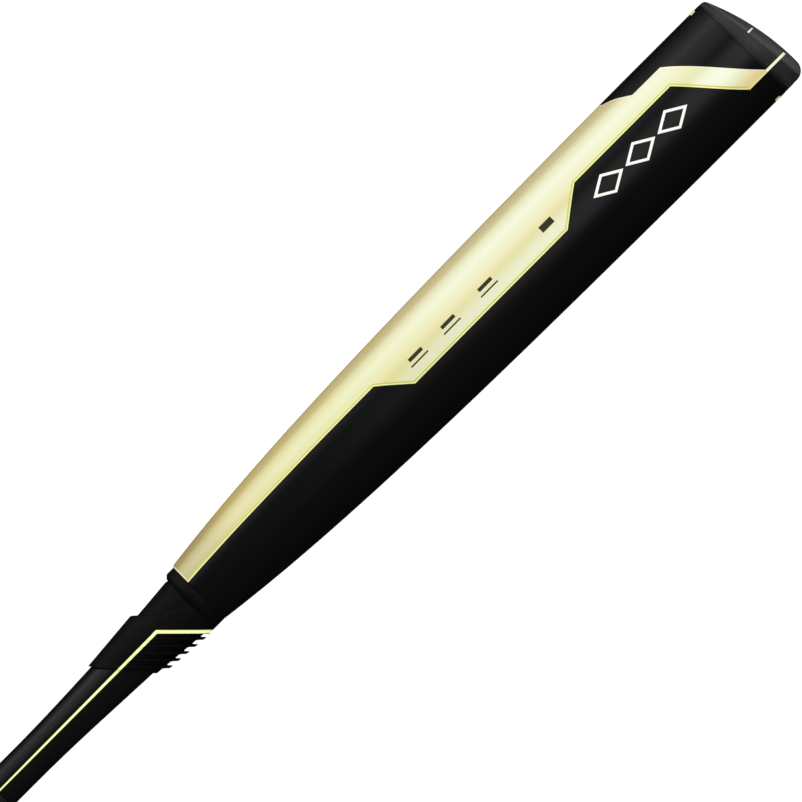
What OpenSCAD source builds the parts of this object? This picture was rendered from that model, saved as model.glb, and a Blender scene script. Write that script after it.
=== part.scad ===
// Two-piece composite baseball bat: barrel, flexible collar, handle, oval knob, sloped cap.
// X runs from the knob to the cap and Z is up. The bat lies on its side: its hitting side,
// with the collar's fins and the knob's toe, is -Y. The origin is on the floor at mid length.

/* [Overall] */
// length from the knob's heel to the tip of the cap
bat_l = 838.2; // [760:0.1:1020]
// outside diameter of the barrel
barrel_d = 66.675; // [54:0.005:80]
// outside diameter of the bare handle
handle_d = 21.7; // [18:0.1:26]

/* [Barrel] */
// length of the barrel from its mouth to the cap's seam
barrel_l = 417.4; // [345:0.1:505]
// length over which the barrel swells to its full diameter
swell_l = 360; // [290:1:400]
// distance over which the swell falls to about a third
swell_decay = 105; // [85:1:130]
// wall of the shell
barrel_wall = 3.6; // [2.5:0.1:4.5]
// distance from the cap's seam to the inner stiffening ring
ring_back = 150; // [100:1:200]
// length of the stiffening ring
ring_l = 14; // [8:1:24]
// wall of the stiffening ring
ring_wall = 3; // [2:0.1:5]

/* [End cap] */
// height of the cap's tip above the seam with the barrel
cap_h = 16.3; // [13:0.1:20]
// height of the cap's low side above the seam
cap_low_h = 3.7; // [2.5:0.1:6]
// distance from the edge's rounding in to the dome's highest point
cap_dome_in = 2.3; // [1:0.1:8]
// fall from the barrel's outside to the cap's side wall at the seam
cap_step = 0.1; // [0.05:0.05:0.4]
// further fall of the side wall by the cap's top, its draft
cap_draft = 0.2; // [0.1:0.05:0.4]
// rounding of the cap's outer edge
cap_edge_r = 6; // [3:0.1:7.5]
// length of the plug inside the barrel
cap_plug_l = 22; // [15:0.5:30]
// wall of the plug
cap_plug_wall = 5; // [3.5:0.1:7]
// thickness of the adhesive round the plug
bond_t = 0.8; // [0.4:0.1:1.2]
// depth of the cup in the plug
cap_cup = 18; // [12:0.5:21]
// diameter of the weight in the plug
cap_weight_d = 24; // [16:0.5:34]
// thickness of the weight
cap_weight_t = 6; // [3:0.5:9]

/* [Collar] */
// distance from the lip ring back to the boot's slanted edge, on the axis
boot_l = 52; // [48:1:58]
// fall from the barrel's mouth to the plain boot
boot_step = 3.3; // [2.4:0.1:3.6]
// wall of the boot at its slanted edge, on the axis
edge_wall = 1.4; // [1:0.1:2.2]
// height of the raised band
band_h = 2.3; // [1.8:0.1:2.8]
// sideways shift of the raised band, away from the hitting side
band_shift = 0.5; // [0:0.1:0.8]
// distance from the lip ring back to the raised band's shoulder
shoulder_back = 10.6; // [8:0.2:13]
// slant of the boot's edge in degrees
edge_slant = 39; // [33:1:46]
// slant of the fins, the shoulder and the ring's skirt in degrees
fin_slant = 45; // [38:1:50]
// number of fins
fin_n = 5; // [3:1:5]
// distance from the ring's skirt back to the first fin
fin_start = 2.4; // [1.6:0.1:2.6]
// spacing of the fins along the axis
fin_pitch = 5.45; // [4.6:0.05:5.6]
// width of a fin along the axis
fin_w = 2.35; // [1.6:0.05:3]
// height of the fins above the band at the hitting side
fin_h = 1.9; // [1.2:0.1:2.4]
// length of the lip ring
lip_l = 7.4; // [6:0.1:9]
// fall from the barrel's mouth to the lip ring
lip_step = 0.4; // [0.2:0.1:0.8]
// sideways shift of the lip ring, towards the hitting side
lip_shift = 0.4; // [0:0.1:0.5]
// chamfer of the lip ring's lower edge
lip_chamfer = 1.8; // [0.8:0.1:2.2]
// reach of the ring's skirt below the lip ring, on the axis
skirt_back = 24.4; // [20:0.2:26]
// sideways shift of the ring's skirt
skirt_shift = 3.2; // [2.4:0.1:3.6]
// width and depth of the groove under the lip ring
groove = 0.9; // [0.5:0.1:1.3]

/* [Joint] */
// diameter of the handle's end inside the barrel
spigot_d = 29.2; // [26:0.1:31]
// thickness of the rubber sleeve at the barrel's mouth
sleeve_t = 1.8; // [1.2:0.1:2.6]
// length over which the handle flares out to its end's diameter
flare_l = 125; // [100:1:145]
// length of the rubber sleeve past the mouth
sleeve_l = 50; // [40:1:58]
// length of the lock ring
lock_l = 8; // [5:0.5:10]
// wall of the lock ring
lock_wall = 4; // [2.5:0.1:5]
// length of the handle past the lock ring
spigot_past = 4; // [2:0.5:10]
// length of the plug in the handle's end
plug_l = 20; // [12:1:28]

/* [Handle] */
// wall of the handle tube
handle_wall = 2.4; // [1.6:0.1:3.2]
// distance from the knob's heel to the handle's butt
butt_x = 12; // [9:0.5:16]
// free length between the counterweight and the damping grid
grid_gap = 10; // [4:1:20]
// length of the damping grid
grid_l = 180; // [120:1:216]
// thickness of the grid's webs
grid_t = 2; // [1.2:0.1:3]
// length of the counterweight
weight_l = 28; // [18:1:34]

/* [Grip] */
// length of bare handle between the grip and the flare
bare_l = 22; // [16:1:40]
// distance from the knob's heel to the grip's lower end
grip_start = 20; // [17:0.5:26]
// thickness of the grip
grip_t = 1.8; // [1:0.1:2.6]
// length of the finishing tape
tape_l = 14; // [8:1:24]
// thickness of the finishing tape
tape_t = 0.5; // [0.3:0.1:1]

/* [Knob] */
// length of the knob with its skirt
knob_l = 110; // [90:1:135]
// reach of the knob's toe from the handle's axis
toe_r = 31; // [25:0.5:33]
// reach of the knob's heel from the handle's axis
heel_r = 14.5; // [13.5:0.1:18]
// half thickness of the knob
knob_r = 16; // [14:0.1:20]
// thickness of the skirt's thin end
skirt_t = 0.4; // [0.3:0.05:0.8]
// slant of the knob's end face in degrees
knob_slant = 14; // [6:0.5:18]
// rounding of the knob's end
knob_edge_r = 5; // [3:0.1:6]
// depth of the badge
badge_t = 1.2; // [0.8:0.1:2]
// diameter of the badge
badge_d = 20; // [12:0.5:24]

/* [Hidden] */
$fn = 96;
dome_fn = 180;
// size of a shape that only has to be larger than the bat, how far a cutting shape runs past
// what it cuts, and how far joined shapes of one solid lap
big = 60;
cut = 1;
lap = 0.1;

barrel_r = barrel_d / 2;
handle_r = handle_d / 2;
spigot_r = spigot_d / 2;
mouth_r = spigot_r + sleeve_t + barrel_wall;
seam_x = bat_l - cap_h;
mouth_x = seam_x - barrel_l;
lip_x = mouth_x - lip_l;
sleeve_end = mouth_x + sleeve_l;
spigot_end = sleeve_end + lock_l + spigot_past;
flare_x = lip_x - flare_l;
grip_end = flare_x - bare_l;
grid_x = butt_x + weight_l + grid_gap;

// Outlines: lists of [place along the bat, radius].
swell_steps = 36;
swell_crowding = 1.35;
swell_tail = exp(-swell_l / swell_decay);
function swell(d) = (exp(-d / swell_decay) - swell_tail) / (1 - swell_tail);
swell_pts = [
    for (i = [0:swell_steps])
        let (d = swell_l * pow(i / swell_steps, swell_crowding))
        [mouth_x + d, barrel_r - (barrel_r - mouth_r) * swell(d)]
];
barrel_pts = concat(swell_pts, [[seam_x, barrel_r]]);

flare_steps = 18;
function ease(u) = u * u * (3 - 2 * u);
function flared(u) = handle_r + (spigot_r - handle_r) * ease(u);
handle_pts = concat(
    [[butt_x, handle_r]],
    [for (i = [0:flare_steps]) [flare_x + flare_l * i / flare_steps, flared(i / flare_steps)]],
    [[spigot_end, spigot_r]]
);

function shrunk(pts, wall) = [for (p = pts) [p[0], p[1] - wall]];
function first_x(pts) = pts[0][0];
function last_x(pts) = pts[len(pts) - 1][0];

// Puts the bat's axis at the barrel's radius above the floor and its middle at the origin.
module place() {
    translate([-bat_l / 2, 0, barrel_r]) children();
}

// A solid turned round the bat's axis from an outline.
module turned(pts) {
    rotate([0, 90, 0]) rotate_extrude()
        polygon(concat(
            [[0, first_x(pts)]],
            [for (p = pts) [p[1], p[0]]],
            [[0, last_x(pts)]]
        ));
}

module rod(x0, x1, r) {
    turned([[x0, r], [x1, r]]);
}

// Space between two slanted planes that cross the axis at x0 and x1.
module slab(x0, x1, slant) {
    translate([x0, 0, 0]) rotate([0, 0, slant]) translate([0, -big, -big])
        cube([(x1 - x0) * cos(slant), 2 * big, 2 * big]);
}

// The space inside the barrel, open at both ends.
module barrel_bore() {
    inner = shrunk(barrel_pts, barrel_wall);
    turned(concat(
        [[mouth_x - cut, mouth_r - barrel_wall]],
        inner,
        [[seam_x + cut, barrel_r - barrel_wall]]
    ));
}

module barrel_shell() {
    color("#c9b87c") place() difference() {
        turned(barrel_pts);
        barrel_bore();
    }
}

module barrel_ring() {
    x1 = seam_x - ring_back;
    color("#5a5a5c") place() difference() {
        intersection() {
            rod(x1 - ring_l, x1, barrel_r);
            barrel_bore();
        }
        rod(x1 - ring_l - cut, x1 + cut, barrel_r - barrel_wall - ring_wall);
    }
}

cap_plug_r = barrel_r - barrel_wall - bond_t;
cap_seam_r = barrel_r - cap_step;
cap_r = cap_seam_r - cap_draft;
cap_dome_y = cap_r - cap_edge_r - cap_dome_in;
cap_fall = cap_h - cap_low_h;
cap_dome_r = (pow(cap_r + cap_dome_y, 2) + pow(cap_fall, 2)) / (2 * cap_fall);
cup_floor_x = seam_x - cap_plug_l + cap_cup;

// The cap's tapered side wall with its rounded outer edge.
module cap_body() {
    turned(concat(
        [[seam_x, cap_seam_r]],
        [for (a = [0:10:90])
            [bat_l - cap_edge_r * (1 - sin(a)), cap_r - cap_edge_r * (1 - cos(a))]]
    ));
}

module end_cap() {
    color("#1d1d1f") place() difference() {
        union() {
            intersection() {
                cap_body();
                translate([bat_l - cap_dome_r, -cap_dome_y, 0])
                    sphere(r = cap_dome_r, $fn = dome_fn);
            }
            rod(seam_x - cap_plug_l, seam_x, cap_plug_r);
        }
        rod(seam_x - cap_plug_l - cut, cup_floor_x, cap_plug_r - cap_plug_wall);
    }
}

module cap_bond() {
    color("#b8a98c") place() difference() {
        rod(seam_x - cap_plug_l, seam_x, cap_plug_r + bond_t);
        rod(seam_x - cap_plug_l - cut, seam_x + cut, cap_plug_r);
    }
}

module cap_weight() {
    color("#6b6b6e") place() rod(cup_floor_x - cap_weight_t, cup_floor_x, cap_weight_d / 2);
}

// The handle's outer shape, from the butt to the end in the barrel.
module handle_solid() {
    turned(handle_pts);
}

module handle_tube() {
    inner = shrunk(handle_pts, handle_wall);
    color("#232325") place() difference() {
        handle_solid();
        turned(concat(
            [[butt_x - cut, handle_r - handle_wall]],
            inner,
            [[spigot_end + cut, spigot_r - handle_wall]]
        ));
    }
}

module handle_plug() {
    color("#3f4246") place() rod(spigot_end - plug_l, spigot_end, spigot_r - handle_wall);
}

module lock_ring() {
    color("#8d8f93") place() difference() {
        rod(sleeve_end, sleeve_end + lock_l, spigot_r + lock_wall);
        rod(sleeve_end - cut, sleeve_end + lock_l + cut, spigot_r);
    }
}

module coupling_sleeve() {
    color("#3a3a3a") place() difference() {
        union() {
            intersection() {
                rod(mouth_x, sleeve_end, barrel_r);
                barrel_bore();
            }
            rod(lip_x, mouth_x, mouth_r - barrel_wall);
        }
        handle_solid();
    }
}

lip_r = mouth_r - lip_step;
boot_r = mouth_r - boot_step;
edge_x = lip_x - boot_l;
edge_r = flared((edge_x - flare_x) / flare_l) + edge_wall - band_h;
function boot_radius(x) = boot_r - (boot_r - edge_r) * (lip_x - x) / boot_l;
shoulder_x = lip_x - shoulder_back;
skirt_x = lip_x - skirt_back;
boot_end = lip_x - groove;
// where the boot's outline starts, far enough below the slanted edge on the axis
boot_start = edge_x - 24;

// The plain boot with the raised band between the slanted edge and the shoulder.
module boot_core() {
    intersection() {
        union() {
            intersection() {
                turned([
                    [boot_start, boot_radius(boot_start)],
                    [boot_end, boot_radius(boot_end)],
                    [boot_end, boot_r - groove],
                    [lip_x, boot_r - groove]
                ]);
                slab(shoulder_x - cut, lip_x + big, fin_slant);
            }
            intersection() {
                translate([0, band_shift, 0]) turned([
                    [boot_start, boot_radius(boot_start) + band_h],
                    [boot_end, boot_radius(boot_end) + band_h]
                ]);
                slab(boot_start, shoulder_x, fin_slant);
            }
        }
        slab(edge_x, lip_x + big, edge_slant);
    }
}

// Fin i, counted from the ring's skirt. It is highest at the hitting side and sinks into the
// raised band at the other.
module fin(i) {
    top_x = skirt_x - fin_start - i * fin_pitch;
    shift = (fin_h + band_shift) / 2;
    rise = band_h + shift - band_shift;
    intersection() {
        slab(top_x - fin_w, top_x, fin_slant);
        translate([0, -shift, 0]) turned([
            [edge_x, boot_radius(edge_x) + rise],
            [boot_end, boot_radius(boot_end) + rise]
        ]);
    }
}

module collar_boot() {
    color("#161617") place() difference() {
        union() {
            boot_core();
            for (i = [0:fin_n - 1]) fin(i);
        }
        handle_solid();
    }
}

module collar_ring() {
    color("#1b1b1c") place() difference() {
        union() {
            translate([0, -lip_shift, 0]) turned([
                [lip_x, lip_r - lip_chamfer],
                [lip_x + lip_chamfer, lip_r],
                [mouth_x, lip_r]
            ]);
            intersection() {
                translate([0, -skirt_shift, 0])
                    rod(skirt_x - big, lip_x + lap, lip_r + lip_shift - skirt_shift);
                slab(skirt_x, lip_x + big, fin_slant);
            }
        }
        boot_core();
        handle_solid();
        rod(lip_x, mouth_x + cut, mouth_r - barrel_wall);
    }
}

// Knob: rings from the skirt's thin end, station 0, to the end face, station knob_n.
ring_n = 48;
knob_n = 20;
round_n = 5;
slope = tan(knob_slant);
end_plane = heel_r * slope - knob_edge_r * (slope + 1 - sqrt(1 + slope * slope));
skirt_r = handle_r + skirt_t;
// how late the toe, the heel and the flanks swell: 1 swells evenly
toe_power = 3.2;
heel_power = 2;
flank_power = 2.2;

function swollen(start, full, u, power) = start + (full - start) * pow(u, power);

// One oval ring in a plane that leans as the end face does; inset shrinks it.
function oval(u, x, inset) =
    let (
        toe = swollen(skirt_r, toe_r, u, toe_power) - inset,
        heel = swollen(skirt_r, heel_r, u, heel_power) - inset,
        half = swollen(skirt_r, knob_r, u, flank_power) - inset
    )
    [for (k = [0:ring_n - 1])
        let (
            a = 360 * k / ring_n,
            v = (toe - heel) / 2 + (toe + heel) / 2 * cos(a)
        )
        [x + v * slope * u * u, -v, half * sin(a)]];

function circle_ring(x, r) =
    [for (k = [0:ring_n - 1]) let (a = 360 * k / ring_n) [x, -r * cos(a), r * sin(a)]];

function station_x(i) =
    let (u = i / knob_n)
    knob_l - (knob_l - end_plane - knob_edge_r) * u;

// Joins rings of equal size into a closed solid.
module loft(rings) {
    n = len(rings[0]);
    last = len(rings) - 1;
    pts = [for (ring = rings) each ring];
    sides = [
        for (j = [0:last - 1], k = [0:n - 1])
            let (a = j * n + k, b = j * n + (k + 1) % n)
            each [[a, b, b + n], [a, b + n, a + n]]
    ];
    ends = [
        [for (k = [0:n - 1]) n - 1 - k],
        [for (k = [0:n - 1]) last * n + k]
    ];
    polyhedron(points = pts, faces = concat(sides, ends));
}

module knob_solid() {
    body = [for (i = [0:knob_n]) oval(i / knob_n, station_x(i), 0)];
    edge = [for (j = [1:round_n])
        let (a = 90 * j / round_n)
        oval(1, station_x(knob_n) - knob_edge_r * sin(a), knob_edge_r * (1 - cos(a)))];
    loft(concat(body, edge));
}

badge_v = (toe_r - heel_r) / 2;

// Puts things on the knob's end face, with Z pointing out of it.
module on_end_face() {
    translate([end_plane + badge_v * slope, -badge_v, 0])
        rotate([0, -90, knob_slant]) children();
}

// The badge, or its recess with that much more height.
module badge_disc(over) {
    on_end_face() translate([0, 0, -badge_t]) cylinder(h = badge_t + over, d = badge_d);
}

module knob() {
    color("#1c1c1e") place() difference() {
        knob_solid();
        rod(butt_x, knob_l + cut, handle_r);
        badge_disc(knob_edge_r);
    }
}

module knob_badge() {
    color("#d8cf8a") place() badge_disc(0);
}

module knob_weight() {
    color("#77777a") place() rod(butt_x, butt_x + weight_l, handle_r - handle_wall);
}

module damping_grid() {
    bore_r = handle_r - handle_wall;
    color("#c8d23c") place() intersection() {
        rod(grid_x, grid_x + grid_l, bore_r);
        for (turn = [0, 90]) rotate([turn, 0, 0]) translate([grid_x - cut, -big, -grid_t / 2])
            cube([grid_l + 2 * cut, 2 * big, grid_t]);
    }
}

// Radius of a ring of flats that clears the round handle.
snug_r = handle_r / cos(180 / ring_n);
// length over which the grip's outside leaves the knob's skirt
grip_blend = 8;

// The grip follows the knob's own rings up the skirt, then the round handle.
module grip_wrap() {
    k0 = floor(knob_n * (knob_l - grip_start) / (knob_l - end_plane - knob_edge_r));
    inner = concat(
        [circle_ring(grip_end, snug_r), circle_ring(knob_l, snug_r)],
        [for (i = [0:k0]) oval(i / knob_n, station_x(i), 0)]
    );
    outer = concat(
        [for (i = [k0:-1:0]) oval(i / knob_n, station_x(i), -grip_t)],
        [circle_ring(knob_l + grip_blend, snug_r + grip_t), circle_ring(grip_end, snug_r + grip_t)]
    );
    color("#2a2a2c") place() loop_loft(concat(inner, outer));
}

// Joins rings into a closed tube: the last ring meets the first.
module loop_loft(rings) {
    n = len(rings[0]);
    m = len(rings);
    pts = [for (ring = rings) each ring];
    faces = [
        for (j = [0:m - 1], k = [0:n - 1])
            let (
                a = j * n + k,
                b = j * n + (k + 1) % n,
                c = ((j + 1) % m) * n + (k + 1) % n,
                d = ((j + 1) % m) * n + k
            )
            each [[a, b, c], [a, c, d]]
    ];
    polyhedron(points = pts, faces = faces);
}

module grip_band() {
    under = snug_r + grip_t;
    x0 = grip_end - tape_l;
    x1 = grip_end + tape_t;
    color("#111112") place() difference() {
        turned([[x0, under + tape_t], [grip_end, under + tape_t], [x1, under]]);
        rod(x0 - cut, grip_end, under);
        rod(x0 - cut, x1 + cut, handle_r);
    }
}

barrel_shell();
barrel_ring();
end_cap();
cap_bond();
cap_weight();
collar_boot();
collar_ring();
coupling_sleeve();
lock_ring();
handle_tube();
handle_plug();
damping_grid();
grip_wrap();
grip_band();
knob();
knob_weight();
knob_badge();
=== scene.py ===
"""Two-piece composite baseball bat: barrel, sloped cap, rubber collar, handle, grip and oval knob.

The bat lies on its side along X, knob at low X. Its hitting side is -Y and Z is up. Lengths are metres.
"""

import logging
import math
from dataclasses import dataclass, field
from enum import Enum
from typing import Sequence

import bmesh
import bpy
import numpy as np
from bpy.types import Material, Mesh, Node, NodeSocket, NodeTree, Object
from mathutils import Matrix, Vector


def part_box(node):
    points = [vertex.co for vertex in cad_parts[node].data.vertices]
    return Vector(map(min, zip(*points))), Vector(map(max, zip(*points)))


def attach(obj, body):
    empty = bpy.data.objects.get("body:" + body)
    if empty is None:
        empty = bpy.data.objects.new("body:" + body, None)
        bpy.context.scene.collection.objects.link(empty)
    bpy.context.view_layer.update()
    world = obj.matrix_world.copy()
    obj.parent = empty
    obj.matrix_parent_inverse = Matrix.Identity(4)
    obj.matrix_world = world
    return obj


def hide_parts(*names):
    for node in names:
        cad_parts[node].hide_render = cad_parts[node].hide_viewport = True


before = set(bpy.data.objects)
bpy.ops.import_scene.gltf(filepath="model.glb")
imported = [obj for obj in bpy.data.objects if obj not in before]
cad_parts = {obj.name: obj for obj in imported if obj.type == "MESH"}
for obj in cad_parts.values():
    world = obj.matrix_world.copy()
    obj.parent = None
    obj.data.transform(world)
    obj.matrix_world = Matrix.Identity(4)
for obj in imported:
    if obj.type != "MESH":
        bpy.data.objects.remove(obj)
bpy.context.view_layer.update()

LOG = logging.getLogger("bat")
MM = 0.001
WELD = 1e-7
Colour = tuple[float, float, float]
Ring = np.ndarray
Points = Sequence[tuple[float, float]]
Shades = tuple[tuple[float, Colour], ...]


class Slot(str, Enum):
    """The record's material slots."""

    BARREL = "barrel_finish"
    CAP = "cap_plastic"
    BOOT = "boot_rubber"
    RING = "ring_plastic"
    HANDLE = "handle_finish"
    GRIP = "grip_tape"
    BAND = "band_tape"
    KNOB = "knob_plastic"
    BADGE = "badge_plastic"


# ---------------------------------------------------------------- the bat's frame


@dataclass(frozen=True)
class BatFrame:
    """Places along the bat that every sub-assembly shares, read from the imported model."""

    heel_x: float
    tip_x: float
    mouth_x: float
    seam_x: float
    lip_x: float
    axis_z: float
    barrel_r: float

    @staticmethod
    def read() -> "BatFrame":
        """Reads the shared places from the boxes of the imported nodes.

        Returns:
            The places, in metres.
        """
        barrel_low, barrel_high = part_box("barrel_shell")
        knob_low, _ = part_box("knob")
        _, cap_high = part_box("end_cap")
        _, boot_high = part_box("collar_boot")
        return BatFrame(
            heel_x=knob_low.x,
            tip_x=cap_high.x,
            mouth_x=barrel_low.x,
            seam_x=barrel_high.x,
            lip_x=boot_high.x,
            axis_z=(barrel_low.z + barrel_high.z) / 2,
            barrel_r=(barrel_high.z - barrel_low.z) / 2,
        )

    def along(self, millimetres: float) -> float:
        """Returns the X of a place given in millimetres from the knob's heel."""
        return self.heel_x + millimetres * MM


# ---------------------------------------------------------------- mesh building


class MeshMaker:
    """Turns rings of points into closed, smooth-shaded mesh objects."""

    def __init__(self, name: str) -> None:
        """Starts an empty mesh.

        Args:
            name: name of the piece.
        """
        self.name = name
        self.points: list[tuple[float, float, float]] = []
        self.faces: list[tuple[int, ...]] = []

    def add_ring(self, ring: Ring) -> int:
        """Adds a ring's points.

        Args:
            ring: the points.

        Returns:
            The index of the first one.
        """
        start = len(self.points)
        self.points.extend(tuple(p) for p in ring)
        return start

    def bridge(self, a: int, b: int, count: int) -> None:
        """Joins two rings of equal size with a strip of quads.

        Args:
            a: first index of the ring nearer the start.
            b: first index of the next ring.
            count: points in each ring.
        """
        for k in range(count):
            n = (k + 1) % count
            self.faces.append((a + k, a + n, b + n, b + k))

    def pole(self, ring: int, count: int, centre: Sequence[float], ends: bool) -> None:
        """Closes a ring with a fan of triangles round one point.

        Args:
            ring: first index of the ring.
            count: points in the ring.
            centre: the point that closes it.
            ends: True where the solid ends here, False where it starts.
        """
        tip = len(self.points)
        self.points.append(tuple(centre))
        for k in range(count):
            n = (k + 1) % count
            self.faces.append((ring + k, ring + n, tip) if ends else (ring + n, ring + k, tip))

    def loft(self, rings: Sequence[Ring], *poles: Sequence[float]) -> None:
        """Joins rings in order; two poles close the ends, or the last ring meets the first.

        Args:
            rings: the rings, all of one size.
            poles: the points before the first ring and after the last, or none for a closed loop.
        """
        count = len(rings[0])
        firsts = [self.add_ring(r) for r in rings]
        for a, b in zip(firsts, firsts[1:]):
            self.bridge(a, b, count)
        if poles:
            self.pole(firsts[0], count, poles[0], False)
            self.pole(firsts[-1], count, poles[1], True)
        else:
            self.bridge(firsts[-1], firsts[0], count)

    def finish(self, material: Material, sharp: float) -> Object:
        """Makes the object, with outward normals and edges sharp above an angle.

        Args:
            material: the piece's material.
            sharp: angle in degrees above which an edge stays sharp.

        Returns:
            The new object, linked to the scene, at the origin.
        """
        mesh = bpy.data.meshes.new(self.name)
        mesh.from_pydata(self.points, [], self.faces)
        mesh.materials.append(material)
        work = bmesh.new()
        work.from_mesh(mesh)
        bmesh.ops.remove_doubles(work, verts=work.verts, dist=WELD)
        bmesh.ops.recalc_face_normals(work, faces=work.faces)
        work.to_mesh(mesh)
        work.free()
        return place_mesh(self.name, mesh, sharp)


def place_mesh(name: str, mesh: Mesh, sharp: float) -> Object:
    """Links a mesh as a smooth-shaded object.

    Args:
        name: name of the piece.
        mesh: its finished mesh.
        sharp: angle in degrees above which an edge stays sharp.

    Returns:
        The new object.
    """
    mesh.shade_smooth()
    mesh.set_sharp_from_angle(angle=math.radians(sharp))
    piece = bpy.data.objects.new(name, mesh)
    bpy.context.scene.collection.objects.link(piece)
    return piece


def turned_ring(x: float, radius: float | Ring, axis_z: float, count: int) -> Ring:
    """Makes a circle of points round the bat's axis, counted from +Y.

    Args:
        x: its place along the bat.
        radius: its radius, one number or one for each point.
        axis_z: height of the axis.
        count: points in it.

    Returns:
        The points.
    """
    a = np.linspace(0, 2 * np.pi, count, endpoint=False)
    return np.stack([np.full(count, x), radius * np.cos(a), axis_z + radius * np.sin(a)], axis=1)


def outermost(first: Ring, second: Ring, axis_z: float) -> Ring:
    """Takes from two rings, point by point, the one farther from the bat's axis.

    Args:
        first: one ring.
        second: the other ring.
        axis_z: height of the axis.

    Returns:
        The ring of chosen points.
    """
    axis = np.array([0, axis_z])
    reach = [np.linalg.norm(ring[:, 1:] - axis, axis=1) for ring in (first, second)]
    return np.where((reach[0] > reach[1])[:, None], first, second)


def ease(u: float | Ring) -> float | Ring:
    """Smooth step from 0 to 1, of one number or of an array."""
    u = np.clip(u, 0.0, 1.0)
    return u * u * (3 - 2 * u)


# ---------------------------------------------------------------- shader building

Value = NodeSocket | float


class Graph:
    """Short calls for building a node tree."""

    def __init__(self, tree: NodeTree) -> None:
        """Wraps a node tree."""
        self.tree = tree

    def node(self, kind: str, **settings: object) -> Node:
        """Adds a node.

        Args:
            kind: the node's type.
            settings: properties to set on it.

        Returns:
            The new node.
        """
        made = self.tree.nodes.new(kind)
        for key, value in settings.items():
            setattr(made, key, value)
        return made

    def feed(self, socket: NodeSocket, value: object) -> None:
        """Links a socket to an output, or gives it a plain value.

        Args:
            socket: the input to feed.
            value: an output socket, or a value of the input's kind.
        """
        if isinstance(value, NodeSocket):
            self.tree.links.new(value, socket)
        else:
            socket.default_value = value

    def math(self, operation: str, a: Value, b: Value = 0.0, c: Value = 0.0) -> NodeSocket:
        """Adds a Math node.

        Args:
            operation: the node's operation.
            a: first operand.
            b: second operand.
            c: third operand.

        Returns:
            The result's socket.
        """
        made = self.node("ShaderNodeMath", operation=operation)
        for socket, value in zip(made.inputs, (a, b, c)):
            self.feed(socket, value)
        return made.outputs[0]

    def product(self, first: Value, *others: Value) -> Value:
        """Multiplies two or more values.

        Args:
            first: the first value.
            others: the values to multiply it by.

        Returns:
            The product's socket.
        """
        for other in others:
            first = self.math("MULTIPLY", first, other)
        return first

    def off(self, value: Value, middle: Value) -> NodeSocket:
        """Returns how far a value lies from a middle, always positive."""
        return self.math("ABSOLUTE", self.math("SUBTRACT", value, middle))

    def length(self, a: Value, b: Value) -> NodeSocket:
        """Returns the long side of a right-angled triangle with the short sides a and b."""
        return self.math("SQRT", self.math("ADD", self.product(a, a), self.product(b, b)))

    def spread(self, value: Value, low: float, high: float, start: float, end: float) -> NodeSocket:
        """Maps a value from low and high to start and end, and stays level outside them.

        Args:
            value: the value to map.
            low: value that gives start.
            high: value that gives end.
            start: result at low.
            end: result at high.

        Returns:
            The result's socket.
        """
        made = self.node("ShaderNodeMapRange")
        for socket, number in zip(made.inputs, (value, low, high, start, end)):
            self.feed(socket, number)
        return made.outputs[0]

    def below(self, value: Value, limit: Value, soft: float) -> NodeSocket:
        """Masks a value where it is under a limit.

        Args:
            value: the value to test.
            limit: its limit.
            soft: width of the mask's soft edge.

        Returns:
            1 under the limit and 0 over it.
        """
        span = self.math("SUBTRACT", limit, value)
        step = self.math("MULTIPLY_ADD", span, 1 / soft, 0.5)
        clamp = self.node("ShaderNodeClamp")
        self.feed(clamp.inputs["Value"], step)
        return clamp.outputs[0]

    def blend(self, amount: Value, a: object, b: object) -> NodeSocket:
        """Mixes two colours.

        Args:
            amount: share of the second colour.
            a: first colour, a socket or plain numbers.
            b: second colour.

        Returns:
            The mixed colour's socket.
        """
        made = self.node("ShaderNodeMix", data_type="RGBA")
        self.feed(made.inputs[0], amount)
        self.feed(made.inputs[6], a if isinstance(a, NodeSocket) else (*a, 1))
        self.feed(made.inputs[7], b if isinstance(b, NodeSocket) else (*b, 1))
        return made.outputs[2]

    def mix(self, amount: Value, a: Value, b: Value) -> NodeSocket:
        """Mixes two values.

        Args:
            amount: share of the second value.
            a: first value.
            b: second value.

        Returns:
            The mixed value's socket.
        """
        made = self.node("ShaderNodeMix", data_type="FLOAT")
        self.feed(made.inputs[0], amount)
        self.feed(made.inputs[2], a)
        self.feed(made.inputs[3], b)
        return made.outputs[0]

    def group(self, tree: NodeTree, **inputs: object) -> Node:
        """Adds a shader group.

        Args:
            tree: the group's tree.
            inputs: its inputs by name, with underscores for spaces.

        Returns:
            The group's node.
        """
        made = self.node("ShaderNodeGroup")
        made.node_tree = tree
        for key, value in inputs.items():
            self.feed(made.inputs[key.replace("_", " ")], value)
        return made

    def coordinates(self) -> tuple[NodeSocket, NodeSocket, NodeSocket]:
        """Splits the object's coordinates.

        Returns:
            The sockets of X, Y and Z, in metres.
        """
        where = self.node("ShaderNodeTexCoord")
        parts = self.node("ShaderNodeSeparateXYZ")
        self.feed(parts.inputs[0], where.outputs["Object"])
        return parts.outputs[0], parts.outputs[1], parts.outputs[2]


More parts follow.
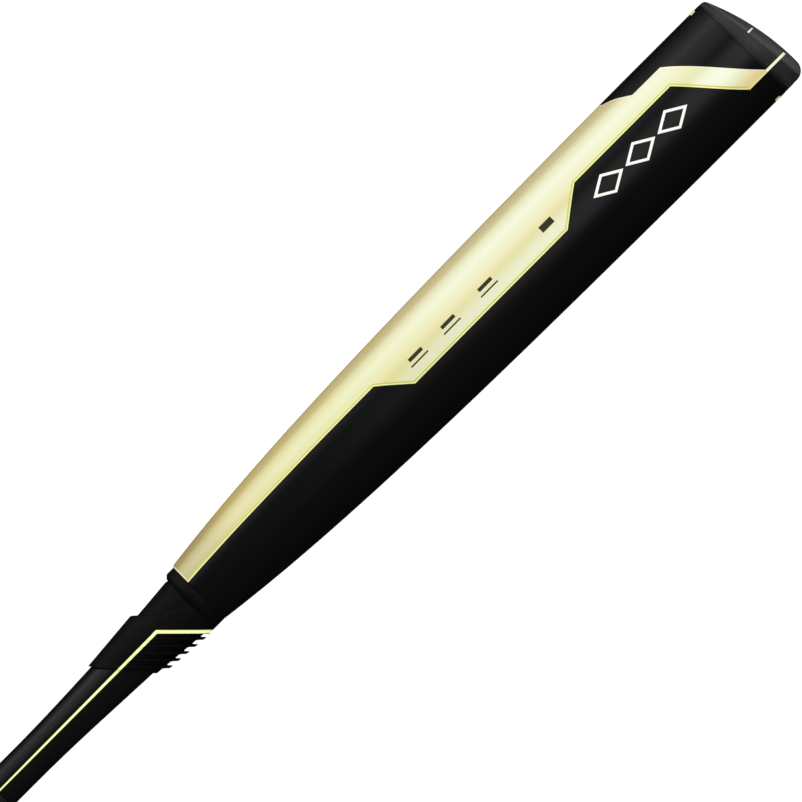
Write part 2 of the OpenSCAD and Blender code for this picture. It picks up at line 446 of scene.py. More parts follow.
def new_group(name: str, inputs: Sequence[str], outputs: Sequence[str]) -> tuple[Graph, dict, dict]:
    """Makes a shader node group with float sockets.

    Args:
        name: name of the group.
        inputs: names of its inputs.
        outputs: names of its outputs.

    Returns:
        Its graph, its input sockets by name, and its output sockets by name.
    """
    tree = bpy.data.node_groups.new(name, "ShaderNodeTree")
    for key in inputs:
        tree.interface.new_socket(name=key, in_out="INPUT", socket_type="NodeSocketFloat")
    for key in outputs:
        tree.interface.new_socket(name=key, in_out="OUTPUT", socket_type="NodeSocketFloat")
    graph = Graph(tree)
    source = graph.node("NodeGroupInput")
    sink = graph.node("NodeGroupOutput")
    return graph, {k: source.outputs[k] for k in inputs}, {k: sink.inputs[k] for k in outputs}


FINE_DETAIL = 3.0
MARK_SCALE = 38.0
MARK_DETAIL = 6.0
MARK_ROUGH = 0.62
LEAST_ROUGHNESS = 0.05


class Effects:
    """Shader groups that more than one material uses."""

    def __init__(self) -> None:
        """Builds every group once."""
        self.line = self._line()
        self.bar = self._bar()
        self.diamond = self._diamond()
        self.grain = self._grain()

    @staticmethod
    def _line() -> NodeTree:
        """Builds the distance from a point to a straight line between two others.

        Returns:
            The group's tree.
        """
        g, i, o = new_group("line_distance", ["U", "V", "U1", "V1", "U2", "V2"], ["Distance"])
        du = g.math("SUBTRACT", i["U2"], i["U1"])
        dv = g.math("SUBTRACT", i["V2"], i["V1"])
        pu = g.math("SUBTRACT", i["U"], i["U1"])
        pv = g.math("SUBTRACT", i["V"], i["V1"])
        dot = g.math("ADD", g.product(pu, du), g.product(pv, dv))
        size = g.math("ADD", g.product(du, du), g.product(dv, dv))
        clamp = g.node("ShaderNodeClamp")
        g.feed(clamp.inputs["Value"], g.math("DIVIDE", dot, size))
        part = clamp.outputs[0]
        ru = g.math("SUBTRACT", pu, g.product(part, du))
        rv = g.math("SUBTRACT", pv, g.product(part, dv))
        g.feed(o["Distance"], g.length(ru, rv))
        return g.tree

    @staticmethod
    def _bar() -> NodeTree:
        """Builds the distance outside a rectangle, negative inside it.

        Returns:
            The group's tree.
        """
        g, i, o = new_group("bar_distance", ["U", "V", "Half length", "Half width"], ["Distance"])
        du = g.math("SUBTRACT", g.math("ABSOLUTE", i["U"]), i["Half length"])
        dv = g.math("SUBTRACT", g.math("ABSOLUTE", i["V"]), i["Half width"])
        g.feed(o["Distance"], g.math("MAXIMUM", du, dv))
        return g.tree

    @staticmethod
    def _diamond() -> NodeTree:
        """Builds the distance outside a diamond, negative inside it.

        Returns:
            The group's tree.
        """
        g, i, o = new_group("diamond_distance", ["U", "V", "Half length", "Half width"], ["Distance"])
        fu = g.math("DIVIDE", g.math("ABSOLUTE", i["U"]), i["Half length"])
        fv = g.math("DIVIDE", g.math("ABSOLUTE", i["V"]), i["Half width"])
        inside = g.math("SUBTRACT", g.math("ADD", fu, fv), 1.0)
        size = g.product(i["Half length"], i["Half width"])
        scale = g.math("DIVIDE", size, g.length(i["Half length"], i["Half width"]))
        g.feed(o["Distance"], g.product(inside, scale))
        return g.tree

    @staticmethod
    def _grain() -> NodeTree:
        """Builds fine surface grain with larger, faint handling marks.

        Returns:
            The group's tree.
        """
        g, i, o = new_group("grain", ["Scale", "Wear"], ["Height", "Marks"])
        where = g.node("ShaderNodeTexCoord").outputs["Object"]
        fine = g.node("ShaderNodeTexNoise")
        broad = g.node("ShaderNodeTexNoise")
        settings = (
            (fine, {"Vector": where, "Scale": i["Scale"], "Detail": FINE_DETAIL}),
            (broad, {"Vector": where, "Scale": MARK_SCALE, "Detail": MARK_DETAIL, "Roughness": MARK_ROUGH}),
        )
        for noise, values in settings:
            for name, value in values.items():
                g.feed(noise.inputs[name], value)
        g.feed(o["Height"], fine.outputs[0])
        g.feed(o["Marks"], g.product(g.math("SUBTRACT", broad.outputs[0], 0.5), i["Wear"]))
        return g.tree


@dataclass(frozen=True)
class Finish:
    """Surface values of one finish; each material adds its own pattern."""

    name: str
    colour: Colour
    roughness: float
    metallic: float = 0.0
    coat: float = 0.0
    coat_roughness: float = 0.1
    grain_scale: float = 2400.0
    grain_depth: float = 0.00002
    wear: float = 0.25
    specular: float = 0.5


@dataclass(frozen=True)
class Rub:
    """How handling marks lighten a colour: share at rest, reach of the marks, and the paler colour."""

    rest: float = 0.3
    reach: float = 1.2
    gain: float = 1.5
    lift: float = 0.004


class Dresser:
    """Builds the materials."""

    def __init__(self, place: BatFrame) -> None:
        """Keeps the shared groups and the bat's places."""
        self.place = place
        self.effects = Effects()

    def start(self, finish: Finish) -> tuple[Graph, Node, Node]:
        """Makes a material with grain, marks and plain surface values.

        Args:
            finish: the surface values.

        Returns:
            The graph, the Principled shader and the grain group's node.
        """
        material = bpy.data.materials.new(finish.name)
        material.use_nodes = True
        graph = Graph(material.node_tree)
        shader = material.node_tree.nodes["Principled BSDF"]
        values = {
            "Base Color": (*finish.colour, 1),
            "Metallic": finish.metallic,
            "Coat Weight": finish.coat,
            "Coat Roughness": finish.coat_roughness,
            "Specular IOR Level": finish.specular,
        }
        for name, value in values.items():
            shader.inputs[name].default_value = value
        grain = graph.group(self.effects.grain, Scale=finish.grain_scale, Wear=finish.wear)
        rough = graph.math("ADD", finish.roughness, grain.outputs["Marks"])
        graph.feed(shader.inputs["Roughness"], graph.math("MAXIMUM", rough, LEAST_ROUGHNESS))
        bump = graph.node("ShaderNodeBump")
        bump.inputs["Distance"].default_value = finish.grain_depth
        graph.feed(bump.inputs["Height"], grain.outputs["Height"])
        graph.feed(shader.inputs["Normal"], bump.outputs[0])
        return graph, shader, grain

    def bat_coordinates(
        self, graph: Graph
    ) -> tuple[NodeSocket, NodeSocket, NodeSocket]:
        """Measures a point's place on the bat.

        Args:
            graph: the tree to build in.

        Returns:
            Millimetres from the heel, across to +Y, and up or down from the axis, always positive.
        """
        x, y, z = graph.coordinates()
        along = graph.math("MULTIPLY_ADD", x, 1 / MM, -self.place.heel_x / MM)
        across = graph.product(y, 1 / MM)
        height = graph.math("MULTIPLY_ADD", z, 1 / MM, -self.place.axis_z / MM)
        return along, across, graph.math("ABSOLUTE", height)

    def rubbed(self, graph: Graph, grain: Node, colour: Colour, rub: Rub) -> Value:
        """Varies a colour by the handling marks.

        Args:
            graph: the tree to build in.
            grain: the grain group's node.
            colour: the finish's colour.
            rub: how the marks lighten it.

        Returns:
            The colour's socket.
        """
        amount = graph.math("MULTIPLY_ADD", grain.outputs["Marks"], rub.reach, rub.rest)
        pale = tuple(min(1.0, c * rub.gain + rub.lift) for c in colour)
        return graph.blend(amount, colour, pale)

    def plain(self, finish: Finish) -> Material:
        """Makes a material of one colour, varied a little by the handling marks.

        Args:
            finish: the surface values.

        Returns:
            The material.
        """
        graph, shader, grain = self.start(finish)
        graph.feed(shader.inputs["Base Color"], self.rubbed(graph, grain, finish.colour, Rub()))
        return material_of(graph)


def material_of(graph: Graph) -> Material:
    """Returns the material that owns a graph's tree."""
    return next(m for m in bpy.data.materials if m.node_tree == graph.tree)


def piecewise(graph: Graph, value: Value, points: Points) -> NodeSocket:
    """Follows straight lines through (value, result) points, and stays level outside them.

    Args:
        graph: the tree to build in.
        value: the socket to look up.
        points: (value, result) pairs with rising values.

    Returns:
        The result's socket.
    """
    total: Value = points[0][1]
    for (low, start), (high, end) in zip(points, points[1:]):
        total = graph.math("ADD", total, graph.spread(value, low, high, 0.0, end - start))
    return total


def ramp(graph: Graph, value: Value, stops: Sequence[tuple[float, Colour]]) -> NodeSocket:
    """Looks a value up in a colour ramp.

    Args:
        graph: the tree to build in.
        value: the value, from 0 to 1.
        stops: (place, colour) pairs with rising places.

    Returns:
        The colour's socket.
    """
    made = graph.node("ShaderNodeValToRGB")
    graph.feed(made.inputs[0], value)
    elements = made.color_ramp.elements
    while len(elements) < len(stops):
        elements.new(1.0)
    for element, (place, colour) in zip(elements, stops):
        element.position = place
        element.color = (*colour, 1)
    return made.outputs[0]


def srgb(red: int, green: int, blue: int) -> Colour:
    """Turns a paint maker's 0 to 255 colour into linear light.

    Args:
        red: amount of red.
        green: amount of green.
        blue: amount of blue.

    Returns:
        The colour, each part from 0 to 1.
    """
    shares = (red / 255, green / 255, blue / 255)
    return tuple(((c + 0.055) / 1.055) ** 2.4 if c > 0.0404 else c / 12.92 for c in shares)


# ---------------------------------------------------------------- geometry nodes


class GeometryTree(Graph):
    """A geometry node tree with named inputs that grows one piece."""

    def __init__(self, name: str, sizes: dict[str, float], counts: dict[str, int]) -> None:
        """Makes the tree and its inputs.

        Args:
            name: name of the tree.
            sizes: its float inputs and their values.
            counts: its whole-number inputs and their values.
        """
        super().__init__(bpy.data.node_groups.new(name, "GeometryNodeTree"))
        self.values = {**sizes, **counts}
        face = self.tree.interface
        for key in sizes:
            face.new_socket(name=key, in_out="INPUT", socket_type="NodeSocketFloat")
        for key in counts:
            face.new_socket(name=key, in_out="INPUT", socket_type="NodeSocketInt")
        face.new_socket(name="Material", in_out="INPUT", socket_type="NodeSocketMaterial")
        face.new_socket(name="Geometry", in_out="OUTPUT", socket_type="NodeSocketGeometry")
        self.source = self.node("NodeGroupInput").outputs

    def grow(
        self, name: str, shape: NodeSocket, material: Material, sharp: float
    ) -> Object:
        """Ends the tree, runs it once and keeps its result as a plain mesh.

        Args:
            name: name of the piece.
            shape: the geometry to keep.
            material: the piece's material.
            sharp: angle in degrees above which an edge stays sharp.

        Returns:
            The new object, with no modifier left on it.
        """
        real = self.node("GeometryNodeRealizeInstances")
        self.feed(real.inputs[0], shape)
        paint = self.node("GeometryNodeSetMaterial")
        self.feed(paint.inputs["Geometry"], real.outputs[0])
        self.feed(paint.inputs["Material"], self.source["Material"])
        self.feed(self.node("NodeGroupOutput").inputs[0], paint.outputs[0])
        holder = bpy.data.objects.new(name + "_holder", bpy.data.meshes.new(name + "_holder"))
        bpy.context.scene.collection.objects.link(holder)
        modifier = holder.modifiers.new("Grow", "NODES")
        modifier.node_group = self.tree
        given = {**self.values, "Material": material}
        for item in self.tree.interface.items_tree:
            if item.in_out == "INPUT":
                modifier[item.identifier] = given[item.name]
        graph = bpy.context.evaluated_depsgraph_get()
        mesh = bpy.data.meshes.new_from_object(holder.evaluated_get(graph))
        bpy.data.objects.remove(holder)
        mesh.name = name
        if not mesh.materials:
            mesh.materials.append(material)
        return place_mesh(name, mesh, sharp)


def finish_piece(piece: Object, slot: Slot, *nodes: str) -> None:
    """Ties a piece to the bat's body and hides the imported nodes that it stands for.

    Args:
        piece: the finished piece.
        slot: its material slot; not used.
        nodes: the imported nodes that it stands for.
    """
    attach(piece, "root")
    if nodes:
        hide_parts(*nodes)
    triangles = sum(len(p.vertices) - 2 for p in piece.data.polygons)
    LOG.info("%s: %d triangles, stands for %s", piece.name, triangles, ", ".join(nodes) or "itself")


# ---------------------------------------------------------------- barrel

# champagne tones: the peak and the silk are painted highlights, the peach is painted shade between them, and
# the tan is painted shade towards the band's side; the arm's tones mix the pearl's own tints with painted
# highlight and shade
GOLD_HIGHLIGHT_PEAK = srgb(226, 228, 202)
GOLD_SILK_HIGHLIGHT = srgb(232, 234, 200)
GOLD_PALE = srgb(230, 229, 190)
GOLD_PEACH_SHADE = srgb(233, 225, 168)
GOLD_TAN_SHADE = srgb(212, 198, 149)
GOLD_LEMON = srgb(230, 232, 179)
GOLD_WHITE = srgb(234, 238, 218)
GOLD_CREAM = srgb(244, 246, 201)
GOLD_SAND = srgb(243, 231, 178)
GOLD_BRASS = srgb(238, 220, 158)
EDGE_BRIGHT = srgb(244, 246, 164)
EDGE_SHADOW_OLIVE = srgb(206, 204, 104)
EDGE_PALE = srgb(246, 240, 206)
PRINT_DARK = srgb(52, 48, 26)
PRINT_WHITE = srgb(240, 240, 232)
STRIPE = srgb(238, 238, 164)
STRIPE_BRASS = srgb(235, 221, 147)
STRIPE_PALE = srgb(241, 243, 198)
PAINT_BLACK = srgb(8, 8, 9)
STRIPE_TURN = 122.35
EDGE_SOFT = 0.12
FAR = 1000.0
LINE_FINE = 0.15
LINE_SOFT = 0.2
LINE_HAZE = 0.3


@dataclass(frozen=True)
class Print:
    """A plain printed bar: its middle along the bat and round it from +Y, and half its two sides."""

    along: float
    turn: float
    half_length: float
    half_width: float


@dataclass
class Barrel:
    """The composite barrel with its painted bands, mirrored between the bat's top and bottom."""

    place: BatFrame
    dresser: Dresser
    swell_length: float = 360 * MM
    swell_decay: float = 105 * MM
    mouth_radius: float = 20 * MM
    wall: float = 3.6 * MM
    rim_round: float = 0.15 * MM
    weld: float = 0.001 * MM
    rim_corner: float = 60.0
    rim_sharp: float = 50.0
    steps: int = 110
    rounds: int = 200
    crowding: float = 1.2
    lacquer: Finish = Finish(
        "barrel_lacquer", PAINT_BLACK, 0.33, wear=0.10, grain_scale=900, grain_depth=0.000004, specular=0.28
    )
    # painted shade: the champagne darkens to brass towards the mouth and rises to its full paleness
    painted_falloff_end: float = 624.5
    painted_falloff: Shades = (
        (0.0, (0.68, 0.63, 0.45)), (0.08, (0.73, 0.67, 0.49)), (0.20, (0.90, 0.83, 0.61)),
        (0.32, (0.94, 0.90, 0.70)), (0.56, (0.96, 0.95, 0.78)), (1.0, (1.0, 1.0, 1.0)),
    )
    # champagne tones by degrees from +Y, the pearl paint's own tints with painted highlights and painted
    # shade round the barrel:
    # first those of the whole band, then those on the panel that carries the marks, and those on the
    # arm that crosses to the stripe
    band_light_and_tint: Shades = (
        (0.0, GOLD_TAN_SHADE), (28.0, GOLD_TAN_SHADE), (38.0, GOLD_PALE), (50.0, GOLD_HIGHLIGHT_PEAK), (62.0, GOLD_PALE),
    )
    panel_light_and_tint: Shades = (
        (73.0, GOLD_PEACH_SHADE), (84.0, GOLD_SILK_HIGHLIGHT), (120.0, GOLD_PALE),
    )
    tip_light_and_tint: Shades = (
        (72.0, GOLD_LEMON), (92.0, GOLD_WHITE), (107.0, GOLD_CREAM), (112.5, GOLD_SAND),
        (118.0, GOLD_BRASS),
    )
    shade_span: float = 120.0
    shade_drift: float = 12.0
    tip_from: float = 720.0
    # painted edges as (millimetres from the heel, degrees from +Y)
    border_turn: float = 66.5
    lower_edge: Points = (
        (404.5, 67.0), (414.5, 66.4), (438.9, 66.0), (479.7, 66.2), (504.1, 66.4), (550.7, 67.0),
        (567.9, 95.5), (667.0, 94.6), (685.1, 94.4), (705.8, 66.7), (779.5, 66.7), (808.7, 123.7),
    )
    edge_shadow_width: float = 1.5
    edge_bright_width: float = 0.7
    edge_pale_width: float = 0.6
    stripe_from: float = 808.5
    stripe_half: float = 0.92
    stripe_fade: float = 0.5
    foil: float = 0.22
    # plain bars in the places of the size marks, each with a thinner one under it
    sizes: tuple[Print, ...] = tuple(Print(along, 75.0, 5.0, 1.1) for along in (579.0, 604.0, 632.5))
    captions: tuple[Print, ...] = tuple(Print(along, 81.4, 6.4, 0.45) for along in (579.0, 604.0, 632.5))
    block: Print = Print(679.0, 76.5, 4.4, 2.0)
    tabs: tuple[Print, ...] = (Print(816.5, 10.0, 1.6, 2.2), Print(816.5, 170.0, 1.6, 2.2))
    # three open diamonds in a row
    emblem_middle: float = 743.0
    emblem_turn: float = 90.5
    emblem_pitch: float = 24.5
    diamond_half: tuple[float, float] = (11.4, 6.8)
    diamond_line: float = 1.5
    upper_edge: Points = (
        (744.7, 0.0), (746.5, 14.8), (753.1, 26.8), (758.1, 36.7), (761.7, 43.0), (782.8, 43.2),
        (822.3, 120.6),
    )

    def radius(self, x: float) -> float:
        """Follows the barrel's outline.

        Args:
            x: place along the bat.

        Returns:
            The outside radius there.
        """
        d = min(max(x - self.place.mouth_x, 0.0), self.swell_length)
        tail = math.exp(-self.swell_length / self.swell_decay)
        swell = (math.exp(-d / self.swell_decay) - tail) / (1 - tail)
        return self.place.barrel_r - (self.place.barrel_r - self.mouth_radius) * swell

    def build(self) -> Object:
        """Grows the shell as a closed, swelling tube whose outline follows one rule.

        Returns:
            The finished piece.
        """
        length = self.place.seam_x - self.place.mouth_x
        tree = GeometryTree(
            "swelling_tube",
            {
                "Start": self.place.mouth_x,
                "Length": length,
                "Full Radius": self.place.barrel_r,
                "Mouth Radius": self.mouth_radius,
                "Swell Length": self.swell_length,
                "Swell Decay": self.swell_decay,
                "Wall": self.wall,
                "Axis Height": self.place.axis_z,
            },
            {"Steps": self.steps, "Rounds": self.rounds},
        )
        given = tree.source
        grid = tree.node("GeometryNodeMeshGrid")
        columns = tree.math("ADD", given["Rounds"], 1.0)
        # outside from mouth to seam, inside back to the mouth, and the first row again
        rows = tree.math("MULTIPLY_ADD", given["Steps"], 2.0, 3.0)
        tree.feed(grid.inputs["Vertices X"], rows)
        tree.feed(grid.inputs["Vertices Y"], columns)
        index = tree.node("GeometryNodeInputIndex").outputs[0]
        row = tree.math("FLOOR", tree.math("DIVIDE", index, columns))
        column = tree.math("SUBTRACT", index, tree.product(row, columns))
        last_inside = tree.math("MULTIPLY_ADD", given["Steps"], 2.0, 1.5)
        past = tree.math("GREATER_THAN", row, tree.math("ADD", given["Steps"], 0.5))
        inside = tree.product(past, tree.math("LESS_THAN", row, last_inside))
        back = tree.math("SUBTRACT", tree.math("MULTIPLY_ADD", given["Steps"], 2.0, 1.0), row)
        forth = tree.product(row, tree.math("LESS_THAN", row, last_inside))
        station = tree.mix(inside, forth, back)
        share = tree.math("POWER", tree.math("DIVIDE", station, given["Steps"]), self.crowding)
        d = tree.product(share, given["Length"])

        def fall(distance: Value) -> NodeSocket:
            """Returns the share of the swell left at a distance from the mouth."""
            ratio = tree.math("DIVIDE", distance, given["Swell Decay"])
            return tree.math("EXPONENT", tree.product(ratio, -1.0))

        tail = fall(given["Swell Length"])
        here = fall(tree.math("MINIMUM", d, given["Swell Length"]))
        left = tree.math("DIVIDE", tree.math("SUBTRACT", here, tail), tree.math("SUBTRACT", 1.0, tail))
        depth = tree.math("SUBTRACT", given["Full Radius"], given["Mouth Radius"])
        outside = tree.math("SUBTRACT", given["Full Radius"], tree.product(depth, left))
        radius = tree.math("SUBTRACT", outside, tree.product(inside, given["Wall"]))
        angle = tree.product(tree.math("DIVIDE", column, given["Rounds"]), 2 * math.pi)
        where = tree.node("ShaderNodeCombineXYZ")
        tree.feed(where.inputs[0], tree.math("ADD", given["Start"], d))
        tree.feed(where.inputs[1], tree.product(radius, tree.math("COSINE", angle)))
        height = tree.product(radius, tree.math("SINE", angle))
        tree.feed(where.inputs[2], tree.math("ADD", height, given["Axis Height"]))
        move = tree.node("GeometryNodeSetPosition")
        tree.feed(move.inputs["Geometry"], grid.outputs["Mesh"])
        tree.feed(move.inputs["Position"], where.outputs[0])
        merge = tree.node("GeometryNodeMergeByDistance")
        tree.feed(merge.inputs["Geometry"], move.outputs[0])
        tree.feed(merge.inputs["Distance"], self.weld)
        piece = tree.grow("barrel_body", merge.outputs[0], self.paint(), sharp=32)
        self.round_rims(piece)
        finish_piece(piece, Slot.BARREL, "barrel_shell")
        return piece

    def round_rims(self, piece: Object) -> None:
        """Turns the shell's faces outwards and rounds its four rims a little.

        Args:
            piece: the grown shell.
        """
        work = bmesh.new()
        work.from_mesh(piece.data)
        bmesh.ops.recalc_face_normals(work, faces=work.faces)
        corner = math.radians(self.rim_corner)
        rims = [e for e in work.edges if e.is_manifold and e.calc_face_angle() > corner]
        rounding = {"offset": self.rim_round, "segments": 3, "affect": "EDGES", "material": -1}
        bmesh.ops.bevel(work, geom=rims, profile=0.5, **rounding)
        work.to_mesh(piece.data)
        work.free()
        piece.data.shade_smooth()
        piece.data.set_sharp_from_angle(angle=math.radians(self.rim_sharp))

    def edge_points(self, edge: Points) -> list[tuple[float, float]]:
        """Lays a painted edge out flat.

        Args:
            edge: (along, turn) points.

        Returns:
            The points as (along, arc length from the border's line), in millimetres.
        """
        return [
            (along, math.radians(turn - self.border_turn) * self.radius(self.place.along(along)) / MM)
            for along, turn in edge
        ]

    def nearest(self, graph: Graph, u: Value, v: Value, edge: Points) -> Value:
        """Measures the distance to a painted edge.

        Args:
            graph: the tree to build in.
            u: millimetres from the heel.
            v: arc length from the border's line in millimetres.
            edge: the edge's (along, turn) points.

        Returns:
            The distance in millimetres.
        """
        points = self.edge_points(edge)
        closest: Value = FAR
        for (u1, v1), (u2, v2) in zip(points, points[1:]):
            line = graph.group(self.dresser.effects.line, U=u, V=v, U1=u1, V1=v1, U2=u2, V2=v2)
            closest = graph.math("MINIMUM", closest, line.outputs[0])
        return closest

    def bars(self, graph: Graph, u: Value, v: Value, prints: Sequence[Print]) -> Value:
        """Prints plain bars.

        Args:
            graph: the tree to build in.
            u: millimetres from the heel.
            v: arc length from the border's line in millimetres.
            prints: the bars.

        Returns:
            1 on a bar and 0 off them.
        """
        ink: Value = 0.0
        for one in prints:
            ((u0, v0),) = self.edge_points([(one.along, one.turn)])
            bar = graph.group(
                self.dresser.effects.bar,
                U=graph.math("SUBTRACT", u, u0),
                V=graph.math("SUBTRACT", v, v0),
                Half_length=one.half_length,
                Half_width=one.half_width,
            )
            ink = graph.math("MAXIMUM", ink, graph.below(bar.outputs[0], 0.0, EDGE_SOFT))
        return ink

    def emblem(self, graph: Graph, u: Value, v: Value) -> Value:
        """Prints three open diamonds in a row, a plain ornament of no maker.

        Args:
            graph: the tree to build in.
            u: millimetres from the heel.
            v: arc length from the border's line in millimetres.

        Returns:
            1 on the diamonds' outlines and 0 off them.
        """
        ink: Value = 0.0
        for step in (-1, 0, 1):
            middle = (self.emblem_middle + self.emblem_pitch * step, self.emblem_turn)
            ((u0, v0),) = self.edge_points([middle])
            diamond = graph.group(
                self.dresser.effects.diamond,
                U=graph.math("SUBTRACT", u, u0),
                V=graph.math("SUBTRACT", v, v0),
                Half_length=self.diamond_half[0],
                Half_width=self.diamond_half[1],
            ).outputs[0]
            outer = graph.below(diamond, 0.0, EDGE_SOFT)
            inner = graph.below(diamond, -self.diamond_line, EDGE_SOFT)
            ink = graph.math("MAXIMUM", ink, graph.math("SUBTRACT", outer, inner))
        return ink

    def band(self, graph: Graph, along: Value, turn: Value, v: Value) -> Value:
        """Finds the champagne band between its two painted edges and the stripe.

        Args:
            graph: the tree to build in.
            along: millimetres from the heel.
            turn: degrees from +Y.
            v: arc length from the border's line in millimetres.

        Returns:
            1 on the band and 0 off it.
        """
        under = graph.below(v, piecewise(graph, along, self.edge_points(self.lower_edge)), EDGE_SOFT)
        swapped = [(turn_at, along_at) for along_at, turn_at in self.upper_edge]
        before = graph.below(along, piecewise(graph, turn, swapped), EDGE_SOFT)
        return graph.product(under, before, graph.below(turn, STRIPE_TURN, LINE_SOFT))

    def edged(self, graph: Graph, along: Value, v: Value, gold: Value) -> Value:
        """Draws the band's edge lines: a bright line on the lower edge with an olive painted shadow line
        beside it, and pale lines on the others.

        Args:
            graph: the tree to build in.
            along: millimetres from the heel.
            v: arc length from the border's line in millimetres.
            gold: the band's colour.

        Returns:
            The colour's socket.
        """
        lower = self.nearest(graph, along, v, self.lower_edge)
        upper = self.nearest(graph, along, v, self.upper_edge)
        rim = graph.math("SUBTRACT", along, self.lower_edge[0][0])
        pale = graph.math("MINIMUM", upper, rim)
        # painted shadow: an olive line along the lower edge
        gold = graph.blend(graph.below(lower, self.edge_shadow_width, LINE_HAZE), gold, EDGE_SHADOW_OLIVE)
        gold = graph.blend(graph.below(lower, self.edge_bright_width, LINE_SOFT), gold, EDGE_BRIGHT)
        return graph.blend(graph.below(pale, self.edge_pale_width, LINE_HAZE), gold, EDGE_PALE)

    def paint(self) -> Material:
        """Makes the barrel's lacquer: black, with champagne bands, edge lines and plain printed marks.

        Returns:
            The material.
        """
        graph, shader, grain = self.dresser.start(self.lacquer)
        along, y, up = self.dresser.bat_coordinates(graph)
        arc = graph.product(graph.length(y, up), math.pi / 180)
        turn = graph.product(graph.math("ARCTAN2", up, y), 180 / math.pi)
        v = graph.product(graph.math("SUBTRACT", turn, self.border_turn), arc)

        band = self.band(graph, along, turn, v)
        gold = self.edged(graph, along, v, self.gold(graph, along, turn, grain))
        marks = self.bars(graph, along, v, (*self.sizes, *self.captions, self.block))
        gold = graph.blend(marks, gold, PRINT_DARK)

        stripe_mm = graph.product(graph.off(turn, STRIPE_TURN), arc)
        on_stripe = graph.below(stripe_mm, self.stripe_half, LINE_SOFT)
        stripe = graph.product(on_stripe, graph.below(self.stripe_from, along, self.stripe_fade))
        black = graph.blend(self.emblem(graph, along, v), PAINT_BLACK, PRINT_WHITE)
        colour = graph.blend(band, black, gold)
        colour = graph.blend(stripe, colour, STRIPE_BRASS)
        colour = graph.blend(self.bars(graph, along, v, self.tabs), colour, STRIPE)
        graph.feed(shader.inputs["Base Color"], colour)
        foil = graph.math("MAXIMUM", graph.math("SUBTRACT", band, marks), 0.0)
        graph.feed(shader.inputs["Metallic"], graph.product(foil, self.foil))
        return material_of(graph)

    def gold(self, graph: Graph, along: Value, turn: Value, grain: Node) -> NodeSocket:
        """Returns the champagne colour: the pearl paint's own tints, with painted highlights and painted
        shade across from tan to pale, and painted shade that darkens it to brass towards the mouth.

        Args:
            graph: the tree to build in.
            along: millimetres from the heel.
            turn: degrees from +Y.
            grain: the grain group's node.

        Returns:
            The colour's socket.
        """
        drift = graph.math("MULTIPLY_ADD", grain.outputs["Marks"], self.shade_drift, turn)
        share = graph.math("DIVIDE", drift, self.shade_span)
        panel, tip = (
            ramp(graph, share, [(at / self.shade_span, colour) for at, colour in self.band_light_and_tint + more])
            for more in (self.panel_light_and_tint, self.tip_light_and_tint)
        )
        across = graph.blend(graph.below(self.tip_from, along, 1.0), panel, tip)
        # painted shade that darkens the champagne towards the mouth
        reach = graph.spread(along, self.lower_edge[0][0], self.painted_falloff_end, 0.0, 1.0)
        painted_falloff_mix = graph.node("ShaderNodeMix", data_type="RGBA", blend_type="MULTIPLY")
        graph.feed(painted_falloff_mix.inputs[0], 1.0)
        graph.feed(painted_falloff_mix.inputs[6], across)
        graph.feed(painted_falloff_mix.inputs[7], ramp(graph, reach, self.painted_falloff))
        return painted_falloff_mix.outputs[2]


# ---------------------------------------------------------------- end cap


